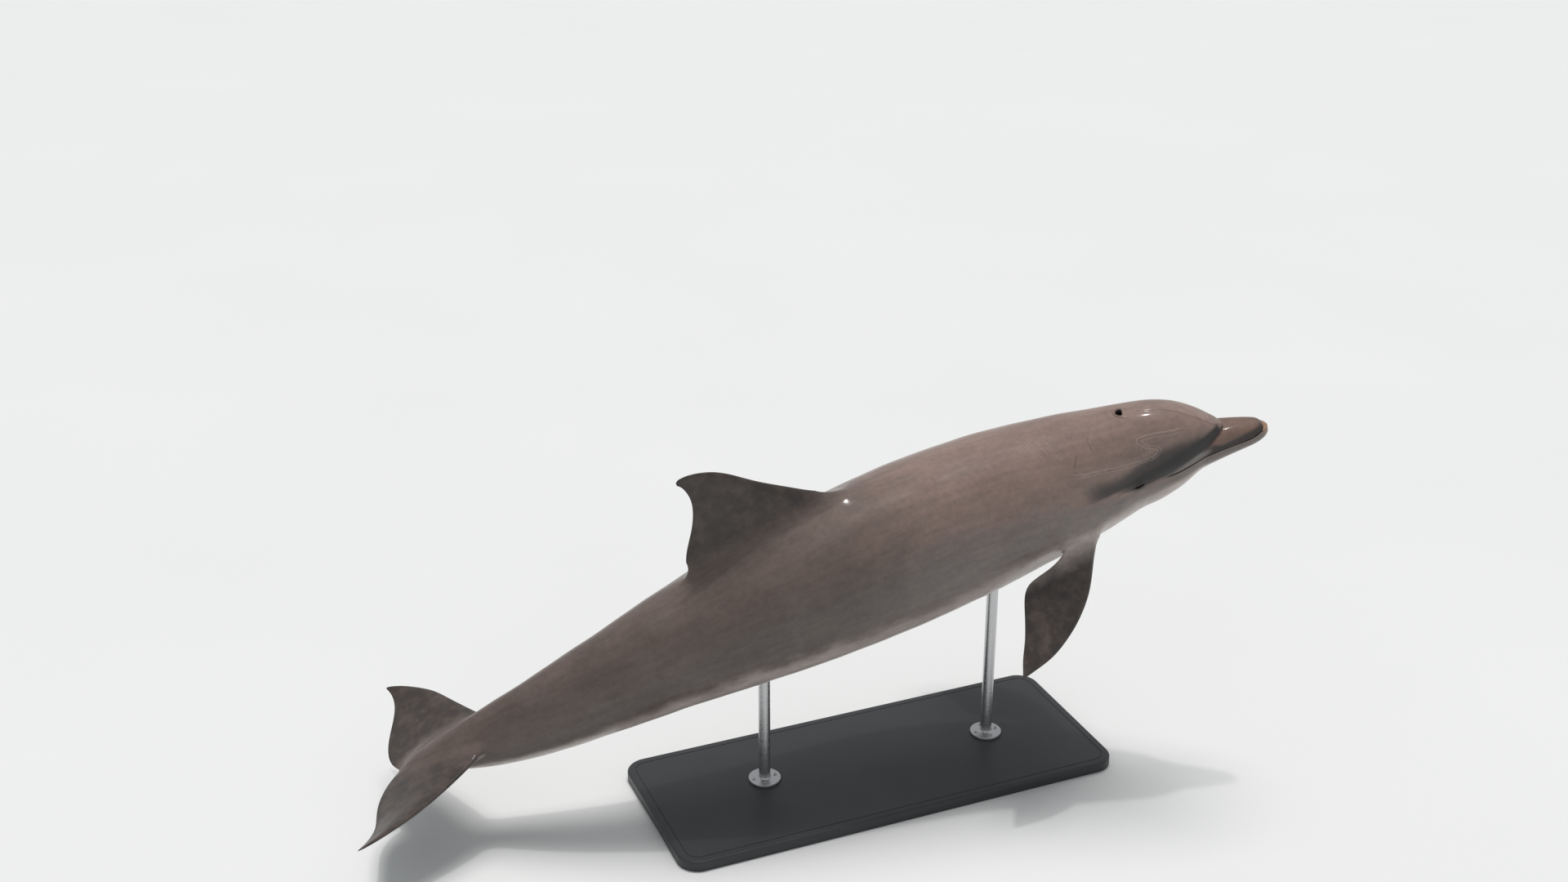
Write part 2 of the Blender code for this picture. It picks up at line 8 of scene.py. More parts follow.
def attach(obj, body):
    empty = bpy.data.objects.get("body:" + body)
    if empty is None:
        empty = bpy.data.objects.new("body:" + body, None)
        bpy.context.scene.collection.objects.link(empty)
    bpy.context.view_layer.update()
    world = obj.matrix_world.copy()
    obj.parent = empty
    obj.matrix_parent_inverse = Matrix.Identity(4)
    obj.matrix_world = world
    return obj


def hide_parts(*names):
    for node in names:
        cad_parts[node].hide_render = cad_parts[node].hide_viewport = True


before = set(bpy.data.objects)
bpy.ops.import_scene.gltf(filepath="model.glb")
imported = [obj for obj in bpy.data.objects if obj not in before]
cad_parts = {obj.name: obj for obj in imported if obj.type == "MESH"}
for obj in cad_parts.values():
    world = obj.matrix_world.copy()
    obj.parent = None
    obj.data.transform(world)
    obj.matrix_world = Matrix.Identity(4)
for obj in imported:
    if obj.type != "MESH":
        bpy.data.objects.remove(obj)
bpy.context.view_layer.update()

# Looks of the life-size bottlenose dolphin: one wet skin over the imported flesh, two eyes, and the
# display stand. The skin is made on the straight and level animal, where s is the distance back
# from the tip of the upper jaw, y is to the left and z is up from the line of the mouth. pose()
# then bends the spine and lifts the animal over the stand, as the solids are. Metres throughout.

# ---- measurements of the animal, as in the solids

CREASE_S = 0.100  # where the melon rises from the beak
TAIL_TIP = 2.468
CHIN_LEAD = 0.011
GAPE_S = 0.300  # corner of the mouth
WIDEST = 0.34  # no part of a section is further than this from its middle
FAR_OUTSIDE = 0.05  # stands for the distance to a part that isn't at this station

# Skull and trunk: s, top, bottom, half-width
TRUNK = (
    (0.100, 0.048, 0.044, 0.000),
    (0.130, 0.085, 0.006, 0.042),
    (0.160, 0.116, -0.024, 0.062),
    (0.200, 0.146, -0.050, 0.083),
    (0.250, 0.168, -0.076, 0.100),
    (0.300, 0.180, -0.093, 0.111),
    (0.345, 0.186, -0.108, 0.120),
    (0.400, 0.190, -0.128, 0.134),
    (0.470, 0.194, -0.149, 0.152),
    (0.620, 0.206, -0.182, 0.180),
    (0.800, 0.219, -0.207, 0.198),
    (1.000, 0.228, -0.213, 0.203),
    (1.200, 0.230, -0.202, 0.194),
    (1.400, 0.219, -0.181, 0.173),
    (1.600, 0.199, -0.156, 0.145),
    (1.800, 0.169, -0.134, 0.116),
    (2.000, 0.136, -0.118, 0.093),
    (2.100, 0.119, -0.107, 0.080),
    (2.200, 0.104, -0.090, 0.065),
    (2.300, 0.087, -0.060, 0.048),
    (2.400, 0.063, -0.014, 0.032),
    (TAIL_TIP, 0.036, 0.026, 0.006),
)
# Upper jaw: s, top, half-width
UPPER_JAW = (
    (0.000, 0.004, 0.000),
    (0.010, 0.026, 0.021),
    (0.030, 0.034, 0.032),
    (0.060, 0.042, 0.040),
    (0.100, 0.050, 0.049),
    (0.150, 0.056, 0.063),
    (0.220, 0.062, 0.085),
    (0.290, 0.066, 0.102),
    (0.360, 0.066, 0.110),
)
# Lower jaw: distance back from its own tip, bottom, half-width
LOWER_JAW = (
    (0.000, -0.005, 0.000),
    (0.010, -0.025, 0.020),
    (0.025, -0.033, 0.028),
    (0.050, -0.038, 0.036),
    (0.080, -0.041, 0.042),
    (0.108, -0.044, 0.048),
    (0.150, -0.047, 0.060),
    (0.200, -0.054, 0.075),
    (0.240, -0.064, 0.087),
    (0.300, -0.086, 0.101),
    (0.366, -0.102, 0.109),
)
JAW_END = 0.36
# Where the jaws meet: s and z
MOUTH_LINE = (
    (-0.05, 0.000),
    (-0.011, 0.001),
    (0.000, 0.007),
    (0.018, 0.005),
    (0.050, 0.002),
    (0.080, 0.004),
    (0.125, 0.009),
    (0.170, 0.014),
    (0.215, 0.018),
    (0.260, 0.020),
    (0.300, 0.024),
)
CREASE_BLEND = 0.005
CHEEK_BLEND = 0.030
CREASE_FADE = (0.13, 0.26)
JAW_FADE = 0.04
TRUNK_POWER = 2.10
TAIL_POWER = 1.85
TAIL_KEEL = (1.70, 2.10)
UPPER_JAW_POWER = 2.7
LOWER_JAW_POWER = 2.2
CHIN_LIP = 0.005  # the lower lip rises this far round the tip of the upper jaw
CHIN_LIP_S = 0.007  # where that rise begins, and as far ahead of the tip it is whole
JAW_TIP_SIZE = 0.010  # least size used for a distance, so that the pointed tips still count
JAWS_LEVEL = (0.18, 0.26)  # stations over which the jaws come to the same width
CHIN_Z = -0.006
MIDDLE_Z = -0.008
MIDDLE_LEVEL_S = 0.24
EYE = (0.358, 0.120, 0.029)  # s, y and z
EYE_RADIUS = 0.0165
EYE_SINK = 0.0085
EYE_BULGE = 0.004
EYE_BULGE_SIZE = 0.030
BLOWHOLE_S = 0.355

# Fins: leading edge and trailing edge pairs, root first, with the half-thickness there
DORSAL_FIN = (
    (1.060, 0.160, 1.620, 0.160, 0.036),
    (1.105, 0.222, 1.595, 0.215, 0.030),
    (1.195, 0.275, 1.575, 0.270, 0.023),
    (1.270, 0.328, 1.552, 0.312, 0.018),
    (1.340, 0.383, 1.530, 0.352, 0.014),
    (1.400, 0.438, 1.515, 0.395, 0.010),
    (1.448, 0.471, 1.513, 0.432, 0.007),
    (1.495, 0.487, 1.521, 0.462, 0.004),
    (1.528, 0.487, 1.532, 0.475, 0.0015),
)
FLUKE = (
    (2.150, 0.000, 2.500, 0.000, 0.023),
    (2.215, 0.045, 2.530, 0.038, 0.020),
    (2.260, 0.090, 2.546, 0.085, 0.016),
    (2.305, 0.140, 2.547, 0.135, 0.013),
    (2.352, 0.190, 2.538, 0.185, 0.011),
    (2.402, 0.238, 2.530, 0.230, 0.009),
    (2.455, 0.275, 2.532, 0.267, 0.006),
    (2.505, 0.302, 2.542, 0.296, 0.004),
    (2.548, 0.318, 2.555, 0.317, 0.0015),
)
FLUKE_Z = 0.030
FLUKE_CURL = 0.052
FLIPPER = (
    (-0.135, 0.031, -0.150, -0.016, 0.019),
    (-0.080, 0.050, -0.080, -0.015, 0.018),
    (-0.030, 0.068, -0.010, -0.014, 0.017),
    (0.020, 0.088, 0.045, -0.024, 0.015),
    (0.075, 0.103, 0.100, -0.050, 0.013),
    (0.140, 0.107, 0.155, -0.064, 0.011),
    (0.205, 0.099, 0.215, -0.044, 0.009),
    (0.275, 0.078, 0.280, -0.020, 0.007),
    (0.335, 0.046, 0.335, -0.008, 0.005),
    (0.370, 0.024, 0.370, 0.002, 0.003),
    (0.388, 0.012, 0.388, 0.007, 0.0012),
)
FLIPPER_ROOT = (0.600, 0.162, -0.103)
FLIPPER_AXIS = (0.732, 0.547, -0.405)
FLIPPER_FRONT = (-0.676, 0.511, -0.531)
FLIPPER_CURVE = 0.15
FIN_EDGE = 0.0008  # least half-thickness

# Pose, in degrees
BEND_MIDDLE = 1.15
NECK_STIFF = 0.42
TAIL_STIFF = 2.40
TAIL_PITCH = 10.7
TAIL_YAW = -20.9
TAIL_ROLL = 3.0
TAIL_BEND_POWER = 1.4
HEAD_PITCH = 3.7
HEAD_YAW = -23.2
HEAD_ROLL = 7.0
BODY_PITCH = 16.9
BODY_PLACE = (-0.03, 0.02, 0.64)

# Stand
BASE_SIZE = (1.30, 0.52, 0.030)
BASE_CORNER = 0.06
ROD_RADIUS = 0.016
ROD_FOOT_RADIUS = 0.045
ROD_FOOT_HEIGHT = 0.008
ROD_STATIONS = {"front": 0.80, "rear": 1.50}

# ---- measurements of the skin alone

LID_COVER = 0.0011  # thickness of the lids over the eyeball
LID_BLEND = 0.009
LID_LENGTH = 0.0150  # half the length of the opening between the lids
LID_RISE = 0.0056  # how far it opens up from its middle
LID_DROP = 0.0029  # and how far down
LID_TILT = np.radians(-7)
THROAT_PASSES = 70  # rounds of smoothing where the back of the jaw meets the throat
BODY_BORDER_S = 0.46  # behind this the mesh is half as fine
UPPER_ROWS = 76  # rows of faces on each side above the line of the mouth and eye
LOWER_ROWS = 48
OUTLINE_STEPS = 121
TRUNK_SPACING = 0.0092
LEAST_SIZE = 1e-4
REACH_STEPS = 121  # tries along each line out from the middle, and then halvings between two tries
HALVINGS = 26
NORMAL_PASSES = 10
FOLD_PASSES = 8
FIN_ROWS = 56
FIN_CHORDS = 26
TIP_ROUND = 0.30  # share of the last step of a fin's table over which the tip is rounded
TIP_ROWS = 9
BLADE_FADE = 0.07  # a fin takes its own colour over this distance out from the body
ON_BLADE = 1e-4
# Radius of the corner where each fin leaves the body
FILLETS = {"dorsal": 0.055, "flukes": 0.045, "flippers": 0.040}
FILLET_LIFT = 0.30  # how far the corner is filled, as a share of its radius
FILLET_PASSES = 50
FILLET_SHARE = 0.6
SHORT_EDGE = 3e-4


# ---- curves


def spline(xs, ys):
    """Natural cubic spline through the points, as a function of an array."""
    xs = np.asarray(xs, float)
    ys = np.asarray(ys, float)
    step = np.diff(xs)
    slope = np.diff(ys) / step
    size = len(xs)
    system = np.eye(size)
    right = np.zeros(size)
    for i in range(1, size - 1):
        system[i, i - 1 : i + 2] = (step[i - 1], 2 * (step[i - 1] + step[i]), step[i])
        right[i] = 6 * (slope[i] - slope[i - 1])
    curve = np.linalg.solve(system, right)

    def value(x):
        x = np.clip(x, xs[0], xs[-1])
        i = np.clip(np.searchsorted(xs, x) - 1, 0, size - 2)
        a = (xs[i + 1] - x) / step[i]
        b = 1 - a
        bend = (a**3 - a) * curve[i] + (b**3 - b) * curve[i + 1]
        return a * ys[i] + b * ys[i + 1] + bend * step[i] ** 2 / 6

    return value


def rounded_start(table):
    """Splines of the columns against the root of the distance from the first row: a round end."""
    rows = np.array(table)
    start = rows[0, 0]
    root = np.sqrt(rows[:, 0] - start)
    columns = [spline(root, rows[:, i]) for i in range(1, rows.shape[1])]
    return [lambda s, c=c: c(np.sqrt(np.maximum(s - start, 0.0))) for c in columns]


trunk_top, trunk_bottom, trunk_width = rounded_start(TRUNK)
upper_top, upper_width = rounded_start(UPPER_JAW)
lower_bottom, lower_width = rounded_start(LOWER_JAW)
mouth_z = spline(*zip(*MOUTH_LINE))


def ramp(x, low, high):
    """0 below low, 1 above high and smooth between; it falls where high is less than low."""
    t = np.clip((x - low) / (high - low), 0, 1)
    return t * t * (3 - 2 * t)


def hump(x, middle, width):
    return np.exp(-(((x - middle) / width) ** 2))


def smooth_least(a, b, radius):
    """The lesser of two distances, with the corner between them filled to about this radius."""
    h = np.clip(0.5 + 0.5 * (b - a) / radius, 0, 1)
    return b + (a - b) * h - radius * h * (1 - h)


# ---- the body's surface, straight and level


def outside_share(y, z, middle, half_width, half_height, power):
    """Distance outside an oval section, as a share of its own size."""
    width = np.maximum(half_width, LEAST_SIZE)
    height = np.maximum(half_height, LEAST_SIZE)
    return (np.abs(y / width) ** power + np.abs((z - middle) / height) ** power) ** (1 / power) - 1


def oval(y, z, middle, half_width, half_height, power):
    """Roughly the distance outside an oval section."""
    size = np.maximum(np.minimum(half_width, half_height), LEAST_SIZE)
    return outside_share(y, z, middle, half_width, half_height, power) * size


def trunk_distance(s, y, z):
    top = trunk_top(s)
    bottom = trunk_bottom(s)
    power = TRUNK_POWER + (TAIL_POWER - TRUNK_POWER) * ramp(s, *TAIL_KEEL)
    outside = oval(y, z, (top + bottom) / 2, trunk_width(s), (top - bottom) / 2, power)
    return np.where(s < CREASE_S, FAR_OUTSIDE, outside)


def lip_rise(s):
    return CHIN_LIP * ramp(s, CHIN_LIP_S, -CHIN_LIP_S)


def jaw_distances(s, y, z):
    """The upper and the lower jaw's, which meet at the line of the mouth."""
    line = mouth_z(s)
    width = upper_width(s)
    height = upper_top(s) - line
    size = np.maximum(np.minimum(width, height), JAW_TIP_SIZE)
    upper = outside_share(y, z, line, width, height, UPPER_JAW_POWER) * size
    chin = s + CHIN_LEAD
    same = ramp(s, *JAWS_LEVEL)
    width = lower_width(chin) * (1 - same) + width * same
    lower = outside_share(y, z, line, width, line - lower_bottom(chin), LOWER_JAW_POWER) * size
    lip = outside_share(y, z, line, width, lip_rise(s), LOWER_JAW_POWER) * size
    lip = np.where(s < CHIN_LIP_S, lip, FAR_OUTSIDE)
    upper = np.where((s < 0) | (z <= line), FAR_OUTSIDE, upper)
    return upper, np.where(z > line, lip, lower)


def jaw_distance(s, y, z):
    sink = np.maximum(s - JAW_END + JAW_FADE, 0) / 3
    return np.minimum(*jaw_distances(s, y, z)) + sink


def body_distance(s, y, z):
    """Below 0 inside the body and above 0 outside it, with the lids closed over the eyeballs."""
    blend = CREASE_BLEND + (CHEEK_BLEND - CREASE_BLEND) * ramp(s, *CREASE_FADE)
    outside = smooth_least(trunk_distance(s, y, z), jaw_distance(s, y, z), blend)
    off = (s - EYE[0]) ** 2 + (z - EYE[2]) ** 2
    outside = outside - EYE_BULGE * np.exp(-(off + (np.abs(y) - EYE[1]) ** 2) / EYE_BULGE_SIZE**2)
    ball = np.sqrt(off + (np.abs(y) - EYE[1] + EYE_SINK) ** 2) - EYE_RADIUS - LID_COVER
    return smooth_least(outside, ball, LID_BLEND)


def middle_z(s):
    """Height of the line inside the body that its sections are measured from."""
    level = (trunk_top(s) + trunk_bottom(s)) / 2
    share = ramp(s, CREASE_S, MIDDLE_LEVEL_S)
    return level * share + MIDDLE_Z * (1 - share)


def lip_height(s):
    """How far above the line of the mouth the lower lip meets the tip of the upper jaw."""
    share = np.clip(upper_width(s) / np.maximum(lower_width(s + CHIN_LEAD), LEAST_SIZE), 0, 1)
    return 0.96 * lip_rise(s) * (1 - share**LOWER_JAW_POWER) ** (1 / LOWER_JAW_POWER)


def side_line(s):
    """Height of the row of points that follows the mouth, passes the eye and goes down a flank."""
    ahead = mouth_z(s) + np.where(s < CHIN_LIP_S, lip_height(s), 0.0)
    share = ramp(s, GAPE_S, EYE[0] - 0.012)
    ahead = ahead * (1 - share) + EYE[2] * share
    share = ramp(s, 0.40, 0.66)
    return ahead * (1 - share) + (trunk_top(s) + trunk_bottom(s)) / 2 * share


def outline(s):
    """Half sections from top to bottom: the angles, and y and z at each station and angle."""
    angles = np.linspace(0, np.pi, OUTLINE_STEPS)
    s = s[:, None]
    dy, dz = np.sin(angles)[None, :], np.cos(angles)[None, :]
    middle = middle_z(s)
    reach = np.linspace(0.0, WIDEST, REACH_STEPS)
    y, z = dy[..., None] * reach, middle[..., None] + dz[..., None] * reach
    inside = body_distance(s[..., None], y, z) < 0
    last = np.where(inside.any(axis=2), REACH_STEPS - 1 - np.argmax(inside[..., ::-1], axis=2), 0)
    found = closest_in(s, dy, dz, reach[last], reach[last] + reach[1])
    return angles, found * dy, middle + found * dz


def closest_in(s, dy, dz, low, high):
    """Distance out from the middle line to the surface, known to lie between low and high."""
    middle = middle_z(s)
    for _ in range(HALVINGS):
        centre = (low + high) / 2
        within = body_distance(s, dy * centre, middle + dz * centre) < 0
        low = np.where(within, centre, low)
        high = np.where(within, high, centre)
    return low


def running_total(along, density):
    """Area under density up to each place."""
    return np.concatenate([[0], np.cumsum((density[1:] + density[:-1]) / 2 * np.diff(along))])


def spread(along, density, count):
    """Places that share out the area under density equally."""
    total = running_total(along, density)
    return np.interp(np.linspace(0, total[-1], count + 1), total, along)


def half_rings(stations):
    """Surface points of the left half at each station, top to bottom, and their distances round it
    from the side line (up is more) and from the bottom."""
    angles, ys, zs = outline(stations)
    lines = side_line(stations)
    rows = np.empty((len(stations), UPPER_ROWS + LOWER_ROWS + 1))
    reach = np.empty_like(rows)
    round_to = np.empty_like(rows)
    line_at = np.empty(len(stations))
    ends = np.empty(len(stations))
    head = 1 - ramp(stations, 0.40, 0.56)
    for i in range(len(stations)):
        arc = np.concatenate([[0], np.cumsum(np.hypot(np.diff(ys[i]), np.diff(zs[i])))])
        below = int(np.argmax(zs[i] < lines[i] - 1e-6))
        share = (zs[i, below - 1] - lines[i]) / max(zs[i, below - 1] - zs[i, below], 1e-9)
        line = arc[below - 1] + (arc[below] - arc[below - 1]) * np.clip(share, 0.02, 0.98)
        end = arc[-1]
        up = np.linspace(0, line, 400)
        # The rows crowd along the mouth, and along the top of the head and of the back
        dense = 1 / 0.0062 + (1 - head[i]) * hump(up, 0, 0.05) / 0.010
        dense += head[i] * (hump(up, line, 0.014) / 0.0007 + hump(up, 0, 0.022) / 0.0017)
        upper = spread(up, dense, UPPER_ROWS)
        down = np.linspace(line, end, 400)
        dense = 1 / 0.009 + head[i] * hump(down, line, 0.013) / 0.0007
        dense += hump(down, end, 0.02) / 0.012
        places = np.concatenate([upper, spread(down, dense, LOWER_ROWS)[1:]])
        rows[i] = np.interp(places, arc, angles)
        reach[i] = np.interp(places, arc, np.hypot(ys[i], zs[i] - middle_z(stations[i])))
        round_to[i], line_at[i], ends[i] = places, line, end
    s = stations[:, None]
    dy, dz = np.sin(rows), np.cos(rows)
    middle = middle_z(s)
    slack = 0.003
    low, high = np.maximum(reach - slack, 0), reach + slack
    sound = (body_distance(s, dy * low, middle + dz * low) < 0) & (
        body_distance(s, dy * high, middle + dz * high) > 0
    )
    exact = np.where(sound, closest_in(s, dy, dz, low, high), reach)
    points = np.stack([s + 0 * dy, exact * dy, middle + exact * dz], axis=-1)
    points[:, [0, -1], 1] = 0
    return points, line_at[:, None] - round_to, ends[:, None] - round_to


def head_stations():
    chin = -CHIN_LEAD + 0.0055 * (np.arange(1, 9) / 8) ** 2
    nose = 1e-5 + 0.03 * (np.arange(0, 22) / 22) ** 2
    along = np.linspace(0.03, BODY_BORDER_S, 3000)
    # Stations crowd at the fold of the melon and at the eye
    dense = 1 / 0.0040 + hump(along, 0.120, 0.026) / 0.0022 + hump(along, EYE[0], 0.0165) / 0.0008
    count = int(running_total(along, dense)[-1])
    return np.concatenate([chin, nose, spread(along, dense, count)])


def trunk_stations():
    count = int((TAIL_TIP - BODY_BORDER_S) / TRUNK_SPACING)
    return np.linspace(BODY_BORDER_S, TAIL_TIP - 0.001, count + 1)[1:]


# ---- relief on the skin: how far it stands out, in metres

# Folds on the inner side of the bent neck: s, slant and depth
NECK_FOLDS = ((0.455, 0.10, 0.0008), (0.500, 0.04, 0.0011), (0.548, -0.02, 0.0009))
TAIL_CREASES = (2.085, 2.110, 2.138)


def ahead_of_gape(s):
    return ramp(s, GAPE_S + 0.004, GAPE_S - 0.04)


def groove_width(s):
    """Of the groove between the lips, which opens out on the cheek."""
    return 0.0012 + 0.0012 * ramp(s, 0.10, 0.26)


def mouth_relief(s, up):
    """Closed lips: a groove between two soft rolls, from the tip to the corner of the mouth."""
    along = ramp(s, 0.0, 0.003) * ahead_of_gape(s)
    groove = -0.0024 * hump(up, 0.0, groove_width(s))
    rolls = 0.0011 * hump(up, 0.0045, 0.0032) + 0.0008 * hump(up, -0.0042, 0.0030)
    corner = -0.0012 * hump(up, -0.10 * (s - GAPE_S), 0.0022) * hump(s, GAPE_S + 0.008, 0.013)
    return (groove + rolls) * along + corner


def crease_gap(s, y, z):
    """0 on the fold where the melon meets the beak, more ahead of it."""
    return trunk_distance(s, y, z) - jaw_distance(s, y, z)


def lip_gap(s, y, z):
    """0 where the jaws' tips meet, more on the lower lip."""
    upper, lower = jaw_distances(s, y, z)
    return upper - lower


def crease_relief(s, y, z):
    apart = crease_gap(s, y, z)
    return -0.0016 * hump(apart, 0.0, 0.0035) * ramp(s, 0.175, 0.145) * (z > side_line(s))


def lid_edge(s, z):
    """Roughly the distance outside the opening between the lids, and the place across it."""
    along = (s - EYE[0]) * np.cos(LID_TILT) + (z - EYE[2]) * np.sin(LID_TILT)
    across = (z - EYE[2]) * np.cos(LID_TILT) - (s - EYE[0]) * np.sin(LID_TILT)
    taper = 1 - (along / LID_LENGTH) ** 2
    return np.maximum(across - LID_RISE * taper, -across - LID_DROP * taper), across


def eye_relief(s, z):
    """Opening, rims and folds of the lids."""
    edge, across = lid_edge(s, z)
    near = hump(np.hypot(s - EYE[0], z - EYE[2]), 0, 0.022)
    opening = -0.0058 * ramp(edge, 0.0001, -0.0015)
    rim = 0.0007 * hump(edge, 0.0012, 0.0011)
    over = np.where(across > 0, 1.0, 0.6)
    fold = -0.0011 * over * hump(edge, 0.0052, 0.0012) - 0.0006 * hump(edge, 0.0092, 0.0016)
    roll = 0.0006 * over * hump(edge, 0.0070, 0.0014)
    return (opening + rim + fold + roll) * np.where(edge < 0.002, 1.0, near)


def blowhole_edge(s, y):
    """1 at the edge of the blowhole, less inside it; its ends curve forward."""
    across = y / 0.0150
    along = (s - BLOWHOLE_S + 0.004 * across**2) / 0.0095
    return np.hypot(along, across), along


def blowhole_relief(s, y, z):
    inside, along = blowhole_edge(s, y)
    top = z > 0.10
    pit = -0.016 * ramp(inside, 1.04, 0.45)
    rim = 0.0016 * hump(inside, 1.30, 0.24) * (1 + 0.6 * np.tanh(along))
    moat = -0.0010 * hump(inside, 1.95, 0.30) * ramp(along, -0.4, 0.8)
    plug = -0.0009 * hump(y, 0.0015, 0.0020) * ramp(s, 0.348, 0.340) * ramp(s, 0.300, 0.325)
    return (pit + rim + moat + plug) * top


def melon_band(s, y):
    """Distance outside the low band that runs down the middle of the melon to the beak."""
    return np.abs(y) - spline(*zip(*MELON_BAND))(s)


def melon_relief(s, y, z):
    """The band down the melon, and the hollow on each side of it above the cheek."""
    along = ramp(s, 0.104, 0.122) * ramp(s, 0.345, 0.30) * (z > 0.05)
    band = 0.0013 * ramp(melon_band(s, y), 0.0035, -0.0035)
    off, _ = path_distance(PAINTED_SHADE_EDGE, s, z)
    hollow = -0.0030 * hump(off, -0.014, 0.016) * ramp(s, 0.115, 0.15) * ramp(s, 0.33, 0.24)
    return band * along + hollow


def body_relief(s, y, z, under):
    """Muscle, folds of the bent neck, belly slit and navel, ear and the tail's creases."""
    turn = np.arctan2(y, z - middle_z(s))
    soft = 0.0007 * np.sin(19 * s + 2.1 * turn) * np.sin(2.7 * turn + 7 * s)
    soft = soft + 0.0005 * np.sin(41 * s - 3.0 * turn + 1.3) * np.sin(1.7 * turn - 11 * s)
    soft = soft * ramp(s, 0.12, 0.45)
    furrow = -0.0022 * hump(z, 0.020 + 0.025 * (s - 1.9), 0.012)
    furrow = furrow * ramp(s, 1.45, 1.75) * ramp(s, 2.30, 2.05)
    neck = 0.0
    for place, slant, deep in NECK_FOLDS:
        neck = neck - deep * hump(s - slant * z, place, 0.0055) * hump(z, 0.0, 0.07) * (y < 0)
    slit = -0.0030 * hump(under, 0, 0.004) * ramp(s, 1.500, 1.515) * ramp(s, 1.660, 1.640)
    slit = slit + 0.0014 * hump(under, 0.012, 0.008) * ramp(s, 1.49, 1.52) * ramp(s, 1.67, 1.64)
    vent = -0.0030 * hump(under, 0, 0.006) * hump(s, 1.695, 0.010)
    navel = -0.0025 * hump(under, 0, 0.008) * hump(s, 1.130, 0.014)
    ear = -0.0014 * hump(np.hypot(s - 0.412, z - 0.012), 0, 0.0035)
    root = 0.0
    for place in TAIL_CREASES:
        root = root - 0.0007 * hump(s + 0.25 * np.abs(z), place, 0.0055) * hump(z, 0, 0.06)
    return soft + furrow + neck + slit + vent + navel + ear + root


# ---- pose


def turn_axes(pitch, yaw, roll):
    """Axes (forward, left, up) as columns, for degrees of nose up, nose left and left side up."""
    pitch, yaw, roll = np.radians(pitch), np.radians(yaw), np.radians(roll)
    level = np.stack([-np.sin(yaw), np.cos(yaw), np.zeros_like(yaw)], axis=-1)
    flat = np.cos(pitch)
    forward = np.stack([flat * np.cos(yaw), flat * np.sin(yaw), np.sin(pitch)], axis=-1)
    upright = np.cross(forward, level)
    roll = roll[..., None]
    left = level * np.cos(roll) + upright * np.sin(roll)
    return np.stack([forward, left, np.cross(forward, left)], axis=-1)


def spine_turn(s):
    s = np.asarray(s, float)
    tail = np.clip((s - BEND_MIDDLE) / (TAIL_STIFF - BEND_MIDDLE), 0, 1) ** TAIL_BEND_POWER
    head = 1 - ramp(s, NECK_STIFF, BEND_MIDDLE)
    pitch = TAIL_PITCH * tail + HEAD_PITCH * head
    yaw = TAIL_YAW * tail + HEAD_YAW * head
    roll = TAIL_ROLL * tail + HEAD_ROLL * head
    return turn_axes(pitch, yaw, roll)


SPINE_S = np.linspace(-0.20, 2.80, 601)
SPINE_MIDS = (SPINE_S[1:] + SPINE_S[:-1]) / 2
SPINE_STEPS = -spine_turn(SPINE_MIDS)[:, :, 0] * np.diff(SPINE_S)[:, None]
SPINE = np.concatenate([np.zeros((1, 3)), np.cumsum(SPINE_STEPS, axis=0)])
SPINE -= [np.interp(BEND_MIDDLE, SPINE_S, SPINE[:, i]) for i in range(3)]
WHOLE_TURN = turn_axes(np.array(BODY_PITCH), np.array(0.0), np.array(0.0))


def pose(points):
    """World positions of points given as (s, y, z)."""
    points = np.asarray(points, float)
    s = points[..., 0]
    axes = spine_turn(s)
    centre = np.stack([np.interp(s, SPINE_S, SPINE[:, i]) for i in range(3)], axis=-1)
    bent = centre + axes[..., 1] * points[..., 1:2] + axes[..., 2] * points[..., 2:3]
    return bent @ WHOLE_TURN.T + BODY_PLACE


# ---- meshes


def new_object(name, points, faces, smooth=True):
    mesh = bpy.data.meshes.new(name)
    mesh.from_pydata([tuple(p) for p in points], [], faces)
    shape = bmesh.new()
    shape.from_mesh(mesh)
    bmesh.ops.recalc_face_normals(shape, faces=shape.faces)
    shape.to_mesh(mesh)
    shape.free()
    if smooth:
        mesh.shade_smooth()
    obj = bpy.data.objects.new(name, mesh)
    bpy.context.scene.collection.objects.link(obj)
    return obj


def whole_ring(half, sides):
    """Left halves joined to right halves; sides is (1, -1, 1) for points and 1 for distances."""
    return np.concatenate([half, half[:, -2:0:-1] * sides], axis=1)


def ring_faces(rings, sides, first=0):
    faces = []
    for i in range(rings - 1):
        a = first + i * sides
        for j in range(sides):
            k = (j + 1) % sides
            faces.append((a + j, a + k, a + sides + k, a + sides + j))
    return faces


def evened(grid, times):
    """Each entry of the rings moved towards the mean of its neighbours."""
    for _ in range(times):
        beside = np.roll(grid, 1, axis=1) + np.roll(grid, -1, axis=1)
        padded = np.concatenate([grid[:1], grid, grid[-1:]])
        grid = grid / 2 + beside / 8 + (padded[2:] + padded[:-2]) / 8
    return grid


